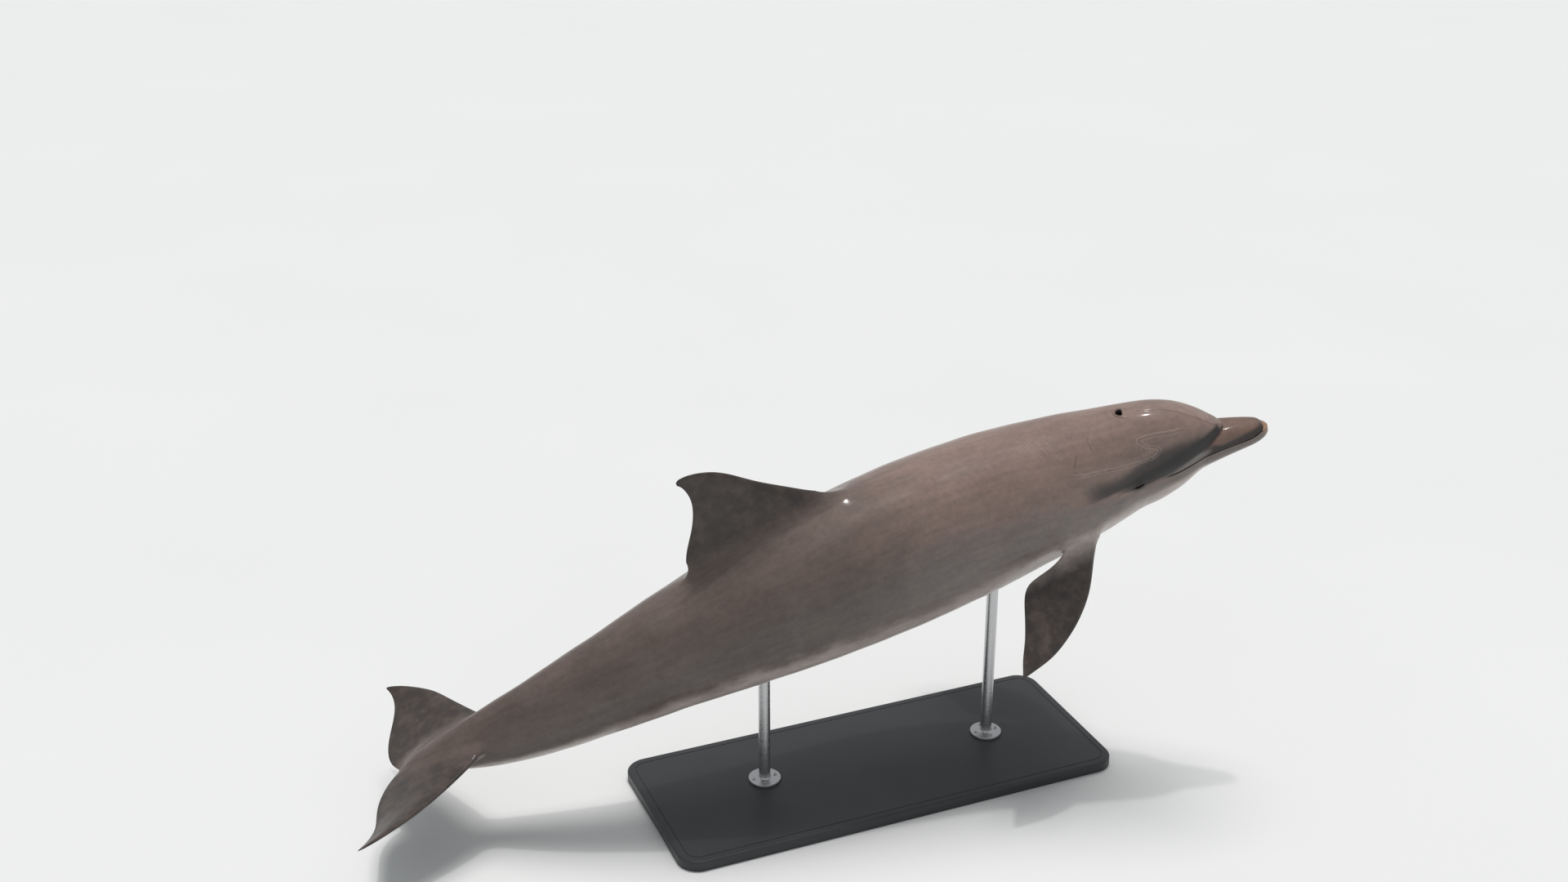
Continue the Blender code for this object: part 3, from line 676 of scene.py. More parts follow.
def body_skin():
    """Points and faces of the body's skin with its relief, straight and level."""
    ahead = head_stations()
    behind = trunk_stations()
    stations = np.concatenate([ahead, behind])
    half, up, under = half_rings(stations)
    points = whole_ring(half, (1, -1, 1))
    up = whole_ring(up, 1)
    under = whole_ring(under, 1)
    along = np.gradient(points, axis=0)
    around = np.roll(points, -1, axis=1) - np.roll(points, 1, axis=1)
    out = np.cross(along, around)
    out /= np.linalg.norm(out, axis=-1, keepdims=True) + 1e-12
    s, y, z = points[..., 0], points[..., 1], points[..., 2]
    if np.mean(np.sum(out * (points - np.stack([s, 0 * y, middle_z(s)], -1)), -1)) < 0:
        out = -out
    out = evened(out, NORMAL_PASSES)
    out /= np.linalg.norm(out, axis=-1, keepdims=True)
    relief = (
        mouth_relief(s, up)
        + crease_relief(s, y, z)
        + eye_relief(s, z)
        + blowhole_relief(s, y, z)
        + melon_relief(s, y, z)
        + body_relief(s, y, z, under)
    )
    points = points + out * relief[..., None]
    fold = hump(crease_gap(s, y, z), 0, 0.010) * (z > side_line(s)) * ramp(s, 0.20, 0.17)
    corner = hump(up, 0, 0.006) * ramp(s, 0.20, 0.24) * ramp(s, 0.36, 0.34)
    seam = hump(lip_gap(s, y, z), 0, 0.004) * ramp(s, 0.030, 0.015)
    loose = np.maximum(np.maximum(fold, 0.8 * seam), 0.6 * corner)[..., None]
    points = points + (evened(points, FOLD_PASSES) - points) * np.clip(loose, 0, 1)
    throat = ramp(s, 0.24, 0.30) * ramp(s, 0.46, 0.40) * ramp(up, -0.030, -0.050)
    for _ in range(THROAT_PASSES):
        padded = np.concatenate([points[:1], points, points[-1:]])
        points = points + ((padded[2:] + padded[:-2]) / 2 - points) * throat[..., None] / 2
    sides = points.shape[1]
    fine = points[: len(ahead)].reshape(-1, 3)
    coarse = points[len(ahead) :, ::2].reshape(-1, 3)
    faces = ring_faces(len(ahead), sides)
    start = len(fine)
    faces += ring_faces(len(behind), sides // 2, start)
    last = (len(ahead) - 1) * sides
    for j in range(sides // 2):
        k = (j + 1) % (sides // 2)
        faces.append(
            (last + 2 * j, last + 2 * j + 1, last + (2 * j + 2) % sides, start + k, start + j)
        )
    chin = (-CHIN_LEAD, 0, CHIN_Z)
    tail = (TAIL_TIP, 0, FLUKE_Z)
    everything = np.vstack([fine, coarse, [chin, tail]])
    chin_at, tail_at = len(everything) - 2, len(everything) - 1
    for j in range(sides):
        faces.append((j, (j + 1) % sides, chin_at))
    end = tail_at - 1 - sides // 2
    for j in range(sides // 2):
        faces.append((end + j, end + (j + 1) % (sides // 2), tail_at))
    return everything, faces


def fin_profile(x):
    """Half-thickness, at most 1, of a streamlined section at x from 0 ahead to 1 behind."""
    return (0.2969 * np.sqrt(x) - 0.1260 * x - 0.3516 * x**2 + 0.2843 * x**3 - 0.1036 * x**4) / 0.1


def fin_spans(table):
    """Steps along a fin's table, closer where its tip is rounded."""
    last = len(table) - 1
    turn = np.sin(np.linspace(0, np.pi / 2, TIP_ROWS))
    start = last - TIP_ROUND
    return np.concatenate([np.linspace(0, start, FIN_ROWS)[:-1], start + TIP_ROUND * turn])


def fin(name, edges, place, spans):
    """A closed blade. spans are steps along the table of edges, below 0 on the other side."""
    table = np.array(edges)
    curves = [spline(np.arange(len(table)), table[:, i]) for i in range(5)]
    chord = (1 - np.cos(np.linspace(0, np.pi, FIN_CHORDS))) / 2
    thick = fin_profile(chord)
    rings = []
    for span in spans:
        lead_a, lead_b, trail_a, trail_b, half = (float(c(abs(span))) for c in curves)
        near_tip = np.clip(1 - (len(table) - 1 - abs(span)) / TIP_ROUND, 0, 0.995)
        keep = np.sqrt(1 - near_tip**2)
        across = 0.5 + (chord - 0.5) * keep
        a = lead_a + (trail_a - lead_a) * across
        b = lead_b + (trail_b - lead_b) * across
        rise = np.maximum(half * thick, FIN_EDGE) * max(keep, 0.3)
        rise[0] = 0
        side = -1.0 if span < 0 else 1.0
        upper = place(a, b, rise, side)
        lower = place(a[1:], b[1:], -rise[1:], side)
        rings.append(np.vstack([upper, lower[::-1]]))
    sides = 2 * FIN_CHORDS - 1
    faces = ring_faces(len(rings), sides)
    for start in (0, (len(rings) - 1) * sides):
        faces.append((start, start + 1, start + sides - 1))
        for i in range(1, FIN_CHORDS - 1):
            faces.append((start + i, start + i + 1, start + sides - i - 1, start + sides - i))
    return new_object(name, np.vstack(rings), faces)


def dorsal_place(s, z, rise, side):
    return np.stack([s, rise, z], axis=-1)


def fluke_place(s, y, rise, side):
    z = FLUKE_Z + FLUKE_CURL * (y / FLUKE[-1][1]) ** 2 + rise
    return np.stack([s, side * y, z], axis=-1)


def flipper_place(mirror):
    axis = np.array(FLIPPER_AXIS)
    front = np.array(FLIPPER_FRONT)
    out = np.cross(axis, front)
    out /= np.linalg.norm(out)

    def place(along, across, rise, side):
        bend = rise - FLIPPER_CURVE * np.maximum(along, 0) ** 2 * np.sign(out[1])
        point = FLIPPER_ROOT + np.outer(along, axis) + np.outer(across, front) + np.outer(bend, out)
        return point * (1, mirror, 1)

    return place


def tree_of(obj):
    mesh = obj.data
    return BVHTree.FromPolygons([v.co for v in mesh.vertices], [p.vertices for p in mesh.polygons])


def edges_of(mesh):
    ends = np.empty(len(mesh.edges) * 2, np.int64)
    mesh.edges.foreach_get("vertices", ends)
    return ends.reshape(-1, 2)


def places_of(mesh):
    co = np.empty(len(mesh.vertices) * 3)
    mesh.vertices.foreach_get("co", co)
    return co.reshape(-1, 3)


def normals_of(mesh):
    out = np.empty(len(mesh.vertices) * 3)
    mesh.vertex_normals.foreach_get("vector", out)
    return out.reshape(-1, 3)


def relaxed(values, ends, share, times, pull=1.0):
    """Each value moved by its share towards its neighbours' mean, weighted by each edge's pull."""
    if values.ndim == 1:
        return relaxed(values[:, None], ends, share, times, pull)[:, 0]
    pull = pull * np.ones(len(ends))
    first, second = ends.T
    size = len(values)
    count = (np.bincount(first, pull, size) + np.bincount(second, pull, size))[:, None].clip(1e-9)
    for _ in range(times):
        total = np.zeros_like(values)
        for i in range(values.shape[1]):
            total[:, i] = np.bincount(first, values[second, i] * pull, size)
            total[:, i] += np.bincount(second, values[first, i] * pull, size)
        values = values + (total / count - values) * share[:, None]
    return values


def filleted(mesh, body_tree, blades):
    """Fills the corner where each blade leaves the body to its own radius, then smooths it."""
    points = places_of(mesh)
    ends = edges_of(mesh)
    lift = np.zeros(len(points))
    near = np.zeros(len(points))
    blade_share = np.zeros(len(points))
    for blade, radius in blades:
        corners = places_of(blade.data)
        low, high = corners.min(axis=0) - radius, corners.max(axis=0) + radius
        inside = np.flatnonzero(((points > low) & (points < high)).all(axis=1))
        tree = tree_of(blade)
        for i in inside:
            from_blade = tree.find_nearest(points[i])[3]
            from_body = body_tree.find_nearest(points[i])[3]
            away = max(from_blade, from_body)
            if from_blade < ON_BLADE:
                blade_share[i] = from_body / BLADE_FADE
            if away < radius:
                lift[i] = max(lift[i], FILLET_LIFT * (radius - away) ** 2 / radius)
                near[i] = max(near[i], 1 - away / radius)
    loose = np.minimum(near * 3, 1)
    out = relaxed(normals_of(mesh), ends, loose, 30)
    out /= np.linalg.norm(out, axis=1)[:, None] + 1e-12
    points = points + out * relaxed(lift, ends, loose, 12)[:, None]
    blade_share = relaxed(blade_share, ends, loose * 0.7, 4)
    lengths = np.linalg.norm(points[ends[:, 0]] - points[ends[:, 1]], axis=1)
    share = ramp(near, 0.02, 0.5) * FILLET_SHARE
    points = relaxed(points, ends, share, FILLET_PASSES, 1 / np.maximum(lengths, SHORT_EDGE))
    return points, blade_share


def joined_skin():
    body_points, body_faces = body_skin()
    skin = new_object("skin", body_points, body_faces)
    body_tree = tree_of(skin)
    one_fluke = fin_spans(FLUKE)
    both_flukes = np.concatenate([-one_fluke[:0:-1], one_fluke])
    blades = [
        (fin("blade_dorsal", DORSAL_FIN, dorsal_place, fin_spans(DORSAL_FIN)), FILLETS["dorsal"]),
        (fin("blade_flukes", FLUKE, fluke_place, both_flukes), FILLETS["flukes"]),
    ]
    for name, mirror in (("left", 1), ("right", -1)):
        made = fin("blade_flipper_" + name, FLIPPER, flipper_place(mirror), fin_spans(FLIPPER))
        blades.append((made, FILLETS["flippers"]))
    for blade, _ in blades:
        union = skin.modifiers.new(blade.name, "BOOLEAN")
        union.operation = "UNION"
        union.solver = "MANIFOLD"
        union.object = blade
    graph = bpy.context.evaluated_depsgraph_get()
    mesh = bpy.data.meshes.new_from_object(skin.evaluated_get(graph))
    skin.modifiers.clear()
    skin.data = mesh
    mesh.name = "skin"
    straight, blade_share = filleted(mesh, body_tree, blades)
    for blade, _ in blades:
        bpy.data.objects.remove(blade)
    return skin, straight, np.clip(blade_share, 0, 1)


def write(mesh, name, values, kind="FLOAT"):
    attribute = mesh.attributes.new(name, kind, "POINT")
    field = "value" if kind == "FLOAT" else "vector"
    attribute.data.foreach_set(field, np.asarray(values, np.float32).ravel())


# ---- markings, painted shade and painted light, as shares from 0 to 1 over the straight animal

# Edge of the dried film on the right side of its head: s and z
FILM_EDGE = (
    (0.176, 0.107),
    (0.210, 0.124),
    (0.242, 0.133),
    (0.284, 0.144),
    (0.322, 0.148),
    (0.334, 0.145),
    (0.328, 0.134),
    (0.306, 0.116),
    (0.286, 0.106),
    (0.298, 0.096),
    (0.327, 0.097),
    (0.360, 0.100),
    (0.395, 0.105),
    (0.438, 0.114),
    (0.487, 0.123),
    (0.540, 0.135),
)
FILM_LOOP = (0.316, 0.116)
FILM_LOOP_RADIUS = 0.0125
# Dark band from the crease back to the eye, a darker stripe of the skin deepened with painted
# shade: s, z and half-width
EYE_BAND = (
    (0.106, 0.062, 0.009),
    (0.150, 0.052, 0.020),
    (0.190, 0.054, 0.019),
    (0.223, 0.053, 0.022),
    (0.277, 0.047, 0.023),
    (0.323, 0.043, 0.021),
    (0.369, 0.038, 0.020),
    (0.410, 0.040, 0.013),
    (0.445, 0.046, 0.006),
)
# Half-width of the band down the middle of the melon: s and y
MELON_BAND = (
    (0.104, 0.010),
    (0.118, 0.020),
    (0.147, 0.027),
    (0.192, 0.025),
    (0.229, 0.018),
    (0.290, 0.012),
    (0.344, 0.006),
)
# Upper edge of the painted shade on the side of the melon: s and z
PAINTED_SHADE_EDGE = (
    (0.100, 0.058),
    (0.120, 0.066),
    (0.165, 0.090),
    (0.212, 0.106),
    (0.273, 0.112),
    (0.321, 0.106),
    (0.370, 0.096),
    (0.430, 0.092),
    (0.500, 0.104),
)
# Turn round the body, in degrees from its top, where the dark of the back gives way: s first
FLANK_EDGE = (
    (0.00, 104),
    (0.30, 102),
    (0.38, 98),
    (0.45, 88),
    (0.55, 76),
    (0.80, 66),
    (1.20, 62),
    (1.70, 68),
    (2.20, 84),
    (2.45, 90),
)


def path_distance(path, s, z):
    """Distance from a smooth path over (s, z), below 0 on one side, and the share along it."""
    path = np.array(path)
    steps = np.arange(len(path))
    fine = np.linspace(0, len(path) - 1, 12 * len(path))
    line = np.stack([spline(steps, path[:, 0])(fine), spline(steps, path[:, 1])(fine)], axis=1)
    s, z = np.broadcast_arrays(s, z)
    best = np.full(s.shape, 1.0)
    signed = np.full(s.shape, 1.0)
    share = np.zeros(s.shape)
    for i in range(len(line) - 1):
        along = line[i + 1] - line[i]
        length = np.hypot(*along)
        off_s, off_z = s - line[i, 0], z - line[i, 1]
        t = np.clip((off_s * along[0] + off_z * along[1]) / length**2, 0, 1)
        away = np.hypot(off_s - t * along[0], off_z - t * along[1])
        closer = away < best
        best = np.where(closer, away, best)
        side = np.sign(along[0] * off_z - along[1] * off_s)
        signed = np.where(closer, away * side, signed)
        share = np.where(closer, (i + t) / (len(line) - 1), share)
    return signed, share


def write_markings(mesh, straight, blade_share):
    s, y, z = straight.T
    middle = middle_z(s)
    turn = np.degrees(np.arctan2(np.abs(y), z - middle))
    up = z - side_line(s)
    right = ramp(y, 0.004, -0.004)
    face = ramp(s, 0.62, 0.40)

    flank_from = spline(*zip(*FLANK_EDGE))(s)
    soft = 20 - 12 * face
    write(mesh, "flank", ramp(turn, flank_from - soft, flank_from + soft + 6))
    belly_from = 122 - 8 * hump(s, 0.62, 0.16) + 14 * ramp(s, 1.5, 2.2) + 12 * ramp(s, 0.14, 0.0)
    write(mesh, "belly", ramp(turn, belly_from - 18, belly_from + 18))
    # Painted shade on the side of the head, darker further below that edge
    off, _ = path_distance(PAINTED_SHADE_EDGE, s, z)
    shade = ramp(off, 0.012, -0.040) * ramp(s, 0.56, 0.42) * ramp(up, 0.004, 0.018)
    write(mesh, "shade", shade * ramp(s, 0.095, 0.108))
    write(mesh, "blade", blade_share)
    # Painted shade: the back half darkened, as water dims it
    write(mesh, "rear", ramp(s, 0.72, 1.45))

    edges = edges_of(mesh)
    near_tip = 0.8 * ramp(s, 0.060, 0.035)
    gap = lip_gap(s, y, z)
    lower = ramp(gap, -0.0012, 0.0012) * (s < 0.10)
    lower = relaxed(lower, edges, near_tip, 4)
    crease = crease_gap(s, y, z)
    ahead = ramp(s, 0.19, 0.15) * (up > -0.002)
    beak = ramp(crease, -0.0035, 0.0015) * ahead
    beak_share = np.where(s < CREASE_S, ramp(up, -0.001, 0.001) * (1 - lower), beak)
    beak_share = relaxed(beak_share, edges, near_tip, 8)
    near_fold = hump(crease, 0, 0.008) * (up > 0) * ramp(s, 0.20, 0.17) * 0.6
    beak_share = relaxed(beak_share, edges, near_fold, 5)
    write(mesh, "beak", beak_share)
    jaw = np.maximum(ramp(up, 0.0012, -0.0012), lower) * ramp(s, 0.34, 0.24)
    write(mesh, "jaw", jaw * ramp(up, -0.046, -0.018))
    # The pale tip of the lower jaw, its own pale tone painted warmer and brighter as sunlit
    from_tip = np.sqrt((s + CHIN_LEAD) ** 2 + y**2 + (z - 0.004) ** 2)
    write(mesh, "sunlit_peach", lower * ramp(from_tip, 0.040, 0.017))
    # A paler strip just above the line of the mouth: painted light reflected up onto the upper lip
    lip = hump(up, 0.013, 0.010) * ramp(s, 0.135, 0.175) * ramp(s, 0.33, 0.29)
    write(mesh, "lip", lip)
    # Painted shade on the steep sides of the upper jaw, over a darker tone of the lips
    beside = ramp(z - 0.010 * ramp(s, 0.11, 0.15), 0.031, 0.014) * ramp(up, -0.001, 0.001)
    write(mesh, "jaw_side_shade", beside * ramp(s, 0.205, 0.155) * (1 - lower))
    # Where the melon's band, painted lighter as a highlight, shows
    write(mesh, "melon", np.where(z > 0.05, melon_band(s, y), 0.1))
    write(mesh, "melon_seen", ramp(s, 0.104, 0.115) * ramp(s, 0.335, 0.26))

    # The eye band: a darker stripe of the skin, deepened with painted shade
    off, share = path_distance([row[:2] for row in EYE_BAND], s, z)
    half = np.interp(s, [row[0] for row in EYE_BAND], [row[2] for row in EYE_BAND])
    ends = ramp(share, 0, 0.04) * ramp(share, 1, 0.72)
    band = ramp(np.abs(off), half * 1.4, half * 0.4) * ends * (np.abs(y) > 0.012)
    round_eye = hump(np.hypot((s - EYE[0]) / 1.5, z - EYE[2]), 0, 0.018)
    band = np.maximum(band, round_eye * (np.abs(y) > 0.05)) * (1 - beak_share)
    write(mesh, "band", band)

    off, share = path_distance(FILM_EDGE, s, z)
    write(mesh, "film", off)
    write(mesh, "film_seen", right * ramp(share, 0.02, 0.10) * ramp(share, 0.995, 0.93))
    write(mesh, "film_blotch", right * ramp(share, 0.52, 0.60) * ramp(share, 0.995, 0.93))
    write(mesh, "film_loop", np.hypot(s - FILM_LOOP[0], z - FILM_LOOP[1]) + 0.1 * (1 - right))

    # Painted shade in the hollows: the groove of the mouth, the fold at the melon, the blowhole's
    # pit, the opening between the lids and the folds round it, and the gap where the jaws' tips
    # meet
    edge, _ = lid_edge(s, z)
    near_eye = np.abs(y) > 0.08
    mouth = hump(up, 0, groove_width(s) + 0.0004) * ahead_of_gape(s) * ramp(s, 0.004, 0.010)
    fold = hump(crease, -0.0005, 0.0055) * ramp(s, 0.19, 0.15) * (up > 0) * (s > CREASE_S - 0.006)
    inside, _ = blowhole_edge(s, y)
    hole = ramp(inside, 1.02, 0.80) * (z > 0.10)
    lids = (hump(edge, 0.0, 0.0014) + 0.5 * hump(edge, 0.0052, 0.0016)) * near_eye * face
    lids = np.maximum(lids, 0.85 * (edge < 0) * near_eye * face)
    fold = relaxed(fold, edges, near_fold, 6)
    seam = hump(gap, 0, 0.0022) * ramp(s, 0.014, 0.008) * (s > 0) * (z > -0.004)
    seam = relaxed(seam, edges, near_tip, 3)
    write(mesh, "crevice_shade", np.clip(mouth + 0.9 * fold + hole + lids + seam, 0, 1))


# ---- materials


class Wiring:
    """Adds nodes to a tree and joins them."""

    def __init__(self, tree):
        self.tree = tree

    def node(self, kind, inputs=(), **settings):
        """A new node with its settings made, then its inputs fed by (name or number, value)."""
        made = self.tree.nodes.new(kind)
        for name, value in settings.items():
            setattr(made, name, value)
        for key, value in inputs:
            self.feed(made.inputs[key], value)
        return made

    def feed(self, socket, value):
        if isinstance(value, bpy.types.NodeSocket):
            self.tree.links.new(value, socket)
        else:
            socket.default_value = value

    def math(self, operation, a, b=0.0, clamp=False):
        inputs = ((0, a), (1, b))
        return self.node("ShaderNodeMath", inputs, operation=operation, use_clamp=clamp).outputs[0]

    def times(self, a, b):
        return self.math("MULTIPLY", a, b)

    def plus(self, a, b):
        return self.math("ADD", a, b)

    def most(self, a, b):
        return self.math("MAXIMUM", a, b)

    def vector(self, operation, a, b=(0.0, 0.0, 0.0), result=0):
        inputs = ((0, a), (1, b))
        return self.node("ShaderNodeVectorMath", inputs, operation=operation).outputs[result]

    def scaled(self, vector, share):
        inputs = ((0, vector), ("Scale", share))
        return self.node("ShaderNodeVectorMath", inputs, operation="SCALE").outputs[0]

    def joined(self, *parts):
        """The vector with these parts, and 0 for the rest."""
        return self.node("ShaderNodeCombineXYZ", enumerate(parts)).outputs[0]

    def between(self, value, low, high, to_low=0.0, to_high=1.0):
        """value from low to high, smoothly, onto to_low to to_high."""
        inputs = enumerate((value, low, high, to_low, to_high))
        return self.node("ShaderNodeMapRange", inputs, interpolation_type="SMOOTHSTEP").outputs[0]

    def varied(self, noise, low, high):
        """low to high over most of a noise's range."""
        return self.between(noise, 0.3, 0.7, low, high)

    def line(self, value, wide, narrow, strength=1.0):
        """Strength where value is within narrow of 0, and 0 beyond wide."""
        return self.between(self.math("ABSOLUTE", value), wide, narrow, 0.0, strength)

    def mix(self, share, a, b, blend="MIX"):
        a, b = ((*each, 1.0) if isinstance(each, tuple) else each for each in (a, b))
        inputs = ((0, share), (6, a), (7, b))
        return self.node("ShaderNodeMix", inputs, data_type="RGBA", blend_type=blend).outputs[2]

    def noise(self, vector, scale, detail=3.0, roughness=0.55):
        names = ("Vector", "Scale", "Detail", "Roughness")
        inputs = zip(names, (vector, scale, detail, roughness))
        return self.node("ShaderNodeTexNoise", inputs).outputs[0]

    def attribute(self, name, vector=False):
        made = self.node("ShaderNodeAttribute", attribute_name=name)
        return made.outputs["Vector" if vector else "Fac"]

    def place(self):
        return self.node("ShaderNodeTexCoord").outputs["Object"]

    def bump(self, height, distance):
        inputs = (("Height", height), ("Distance", distance), ("Strength", 1.0))
        return self.node("ShaderNodeBump", inputs).outputs[0]


def new_material(name, look):
    """A material whose shader has the sockets that look(wires) gives by name."""
    made = bpy.data.materials.new(name)
    made.use_nodes = True
    wires = Wiring(made.node_tree)
    shader = made.node_tree.nodes["Principled BSDF"]
    for socket, value in look(wires).items():
        wires.feed(shader.inputs[socket], value)
    return made


def new_group(name, kind, inputs, output):
    """A node group: its tree, its wiring, its input sockets, and their identifiers by name."""
    tree = bpy.data.node_groups.new(name, kind)
    ids = {}
    for label, socket in inputs:
        made = tree.interface.new_socket(
            label, in_out="INPUT", socket_type="NodeSocket" + socket
        )
        ids[label] = made.identifier
    label, socket = output
    tree.interface.new_socket(label, in_out="OUTPUT", socket_type="NodeSocket" + socket)
    wires = Wiring(tree)
    return tree, wires, wires.node("NodeGroupInput").outputs, ids


# The share of the height over a scratch's chord that is left out, so that it follows the round body
SCRATCH_REACH = 0.95
SCRATCH_WAVE = 0.0014
SCRATCH_TAPER = 0.12
SCRATCH_LEAST = 1e-5


def scratch_group():
    """A fine line on the skin from Start to End: 1 on it and 0 beyond its half-width."""
    vectors = [(name, "Vector") for name in ("Place", "Start", "End", "Out")]
    inputs = (*vectors, ("Half Width", "Float"))
    tree, wires, given, _ = new_group("scratch", "ShaderNodeTree", inputs, ("Line", "Float"))
    along = wires.vector("SUBTRACT", given["End"], given["Start"])
    off = wires.vector("SUBTRACT", given["Place"], given["Start"])
    top = wires.vector("DOT_PRODUCT", off, along, result=1)
    under = wires.vector("DOT_PRODUCT", along, along, result=1)
    share = wires.math("DIVIDE", top, under, clamp=True)
    gap = wires.vector("SUBTRACT", off, wires.scaled(along, share))
    height = wires.vector("DOT_PRODUCT", gap, given["Out"], result=1)
    rise = wires.scaled(given["Out"], wires.times(height, SCRATCH_REACH))
    away = wires.vector("LENGTH", wires.vector("SUBTRACT", gap, rise), result=1)
    taper = wires.times(wires.math("SUBTRACT", 1.0, share), share)
    width = wires.times(given["Half Width"], wires.between(taper, 0.0, SCRATCH_TAPER))
    beyond = wires.math("DIVIDE", away, wires.most(width, SCRATCH_LEAST))
    line = wires.math("SUBTRACT", 1.0, beyond, clamp=True)
    wires.node("NodeGroupOutput", ((0, line),))
    return tree


# Tooth rakes on the right of the neck, then elsewhere: start, end, half-width
PALE_SCRATCHES = (
    ((0.640, -0.015, 0.206), (0.613, -0.090, 0.181), 0.0012),
    ((0.631, -0.018, 0.206), (0.603, -0.094, 0.178), 0.0014),
    ((0.622, -0.022, 0.205), (0.594, -0.098, 0.175), 0.0012),
    ((0.611, -0.026, 0.203), (0.583, -0.100, 0.173), 0.0012),
    ((0.590, -0.030, 0.201), (0.566, -0.088, 0.178), 0.0010),
    ((0.566, -0.040, 0.197), (0.536, -0.104, 0.162), 0.0012),
    ((0.556, -0.044, 0.195), (0.527, -0.106, 0.160), 0.0010),
    ((0.760, 0.060, 0.206), (0.700, 0.130, 0.160), 0.0012),
    ((0.772, 0.062, 0.206), (0.712, 0.132, 0.160), 0.0013),
    ((0.785, 0.064, 0.206), (0.726, 0.134, 0.160), 0.0012),
    ((1.700, -0.030, 0.180), (1.790, -0.085, 0.120), 0.0012),
    ((1.712, -0.026, 0.180), (1.803, -0.081, 0.120), 0.0012),
    ((1.860, 0.030, 0.155), (1.770, 0.090, 0.110), 0.0012),
)
DARK_SCRATCHES = (
    ((0.494, -0.094, 0.165), (0.507, -0.121, 0.141), 0.0022),
    ((0.446, -0.050, 0.186), (0.455, -0.072, 0.175), 0.0014),
    ((0.455, -0.072, 0.175), (0.449, -0.095, 0.157), 0.0020),
)


def mottle_group():
    """Clouds, speckle and streaks that shade a colour, the same on every part of the animal."""
    inputs = (("Colour", "Color"), ("Depth", "Float"))
    tree, wires, given, _ = new_group("mottle", "ShaderNodeTree", inputs, ("Colour", "Color"))
    run = wires.attribute("straight", vector=True)
    drawn = wires.vector("MULTIPLY", run, (1.0, 9.0, 9.0))
    total = 0.0
    for place, scale, detail, roughness, depth in (
        (run, 5.0, 4.0, 0.55, 0.5),
        (run, 60.0, 5.0, 0.65, 0.4),
        (drawn, 6.0, 4.0, 0.55, 0.4),
    ):
        cloud = wires.noise(place, scale, detail, roughness)
        total = wires.plus(total, wires.varied(cloud, -depth, depth))
    shade = wires.plus(wires.times(total, given["Depth"]), 1.0)
    grey = wires.joined(shade, shade, shade)
    wires.node("NodeGroupOutput", ((0, wires.mix(1.0, given["Colour"], grey, "MULTIPLY")),))
    return tree


CAPE = (0.218, 0.152, 0.129)
# Painted highlight along the lit top band of the melon
MELON_HIGHLIGHT = (0.248, 0.178, 0.153)
BLADE = (0.038, 0.029, 0.026)
BLADE_PALE = (0.098, 0.072, 0.060)
# Painted shade: on the side of the melon, and along the edge of its middle band
PAINTED_SHADE = (0.044, 0.036, 0.033)
# Painted shade in grooves, folds and hollows
CREVICE_SHADE = (0.012, 0.008, 0.007)
PALE_LINE = (0.420, 0.330, 0.300)
DARK_LINE = (0.060, 0.028, 0.022)
# Laid over the dark of the back in turn: mask, how ragged its edge is, strength and colour
BODY_LAYERS = (
    ("flank", 1.0, 1.0, (0.168, 0.140, 0.130)),
    # rear: painted shade over the back half
    ("rear", 0.8, 0.75, (0.074, 0.057, 0.050)),
    ("belly", 1.0, 1.0, (0.420, 0.360, 0.335)),
    # shade: painted shade on the side of the melon
    ("shade", 0.6, 1.0, PAINTED_SHADE),
)
# And over the melon
HEAD_LAYERS = (
    ("beak", 0.0, 1.0, (0.165, 0.105, 0.082)),
    # jaw_side_shade: painted shade on the sides of the beak, over a darker tone of the lips
    ("jaw_side_shade", 0.0, 0.92, (0.017, 0.015, 0.014)),
    ("jaw", 0.0, 1.0, (0.135, 0.108, 0.096)),
    # lip: painted reflected light along the upper lip
    ("lip", 0.0, 1.0, (0.175, 0.158, 0.150)),
    # peach: the lower jaw's pale tip, warmed by painted sunlight
    ("sunlit_peach", 0.0, 1.0, (0.285, 0.168, 0.108)),
    # band: darker stripe of the skin, deepened with painted shade
    ("band", 0.0, 0.90, (0.014, 0.014, 0.014)),
)
MOTTLE_DEPTH = 0.20


def skin_colour(wires, run):
    """The animal's colours, with painted shade, painted highlights and painted reflected light,
    before marks.
    """
    ragged = wires.between(wires.noise(run, 14.0, 5.0), 0.25, 0.75, -0.16, 0.16)

    def layered(colour, layers):
        for name, rough, strength, over in layers:
            value = wires.attribute(name)
            if rough:
                value = wires.plus(value, wires.times(ragged, rough))
            share = wires.times(wires.between(value, 0.0, 1.0), strength)
            colour = wires.mix(share, colour, over)
        return colour

    colour = layered(CAPE, BODY_LAYERS)
    # The band down the middle of the melon painted lighter: a painted highlight along its top
    inside = wires.between(wires.attribute("melon"), 0.002, -0.006)
    colour = wires.mix(wires.times(inside, wires.attribute("melon_seen")), colour, MELON_HIGHLIGHT)
    colour = layered(colour, HEAD_LAYERS)
    dapple = wires.between(wires.noise(run, 26.0, 4.0, 0.6), 0.40, 0.68)
    blade = wires.mix(wires.times(dapple, 0.5), BLADE, BLADE_PALE)
    colour = layered(colour, (("blade", 1.0, 1.0, blade),))
    inputs = (("Colour", colour), ("Depth", MOTTLE_DEPTH))
    return wires.node("ShaderNodeGroup", inputs, node_tree=mottle_group()).outputs[0]


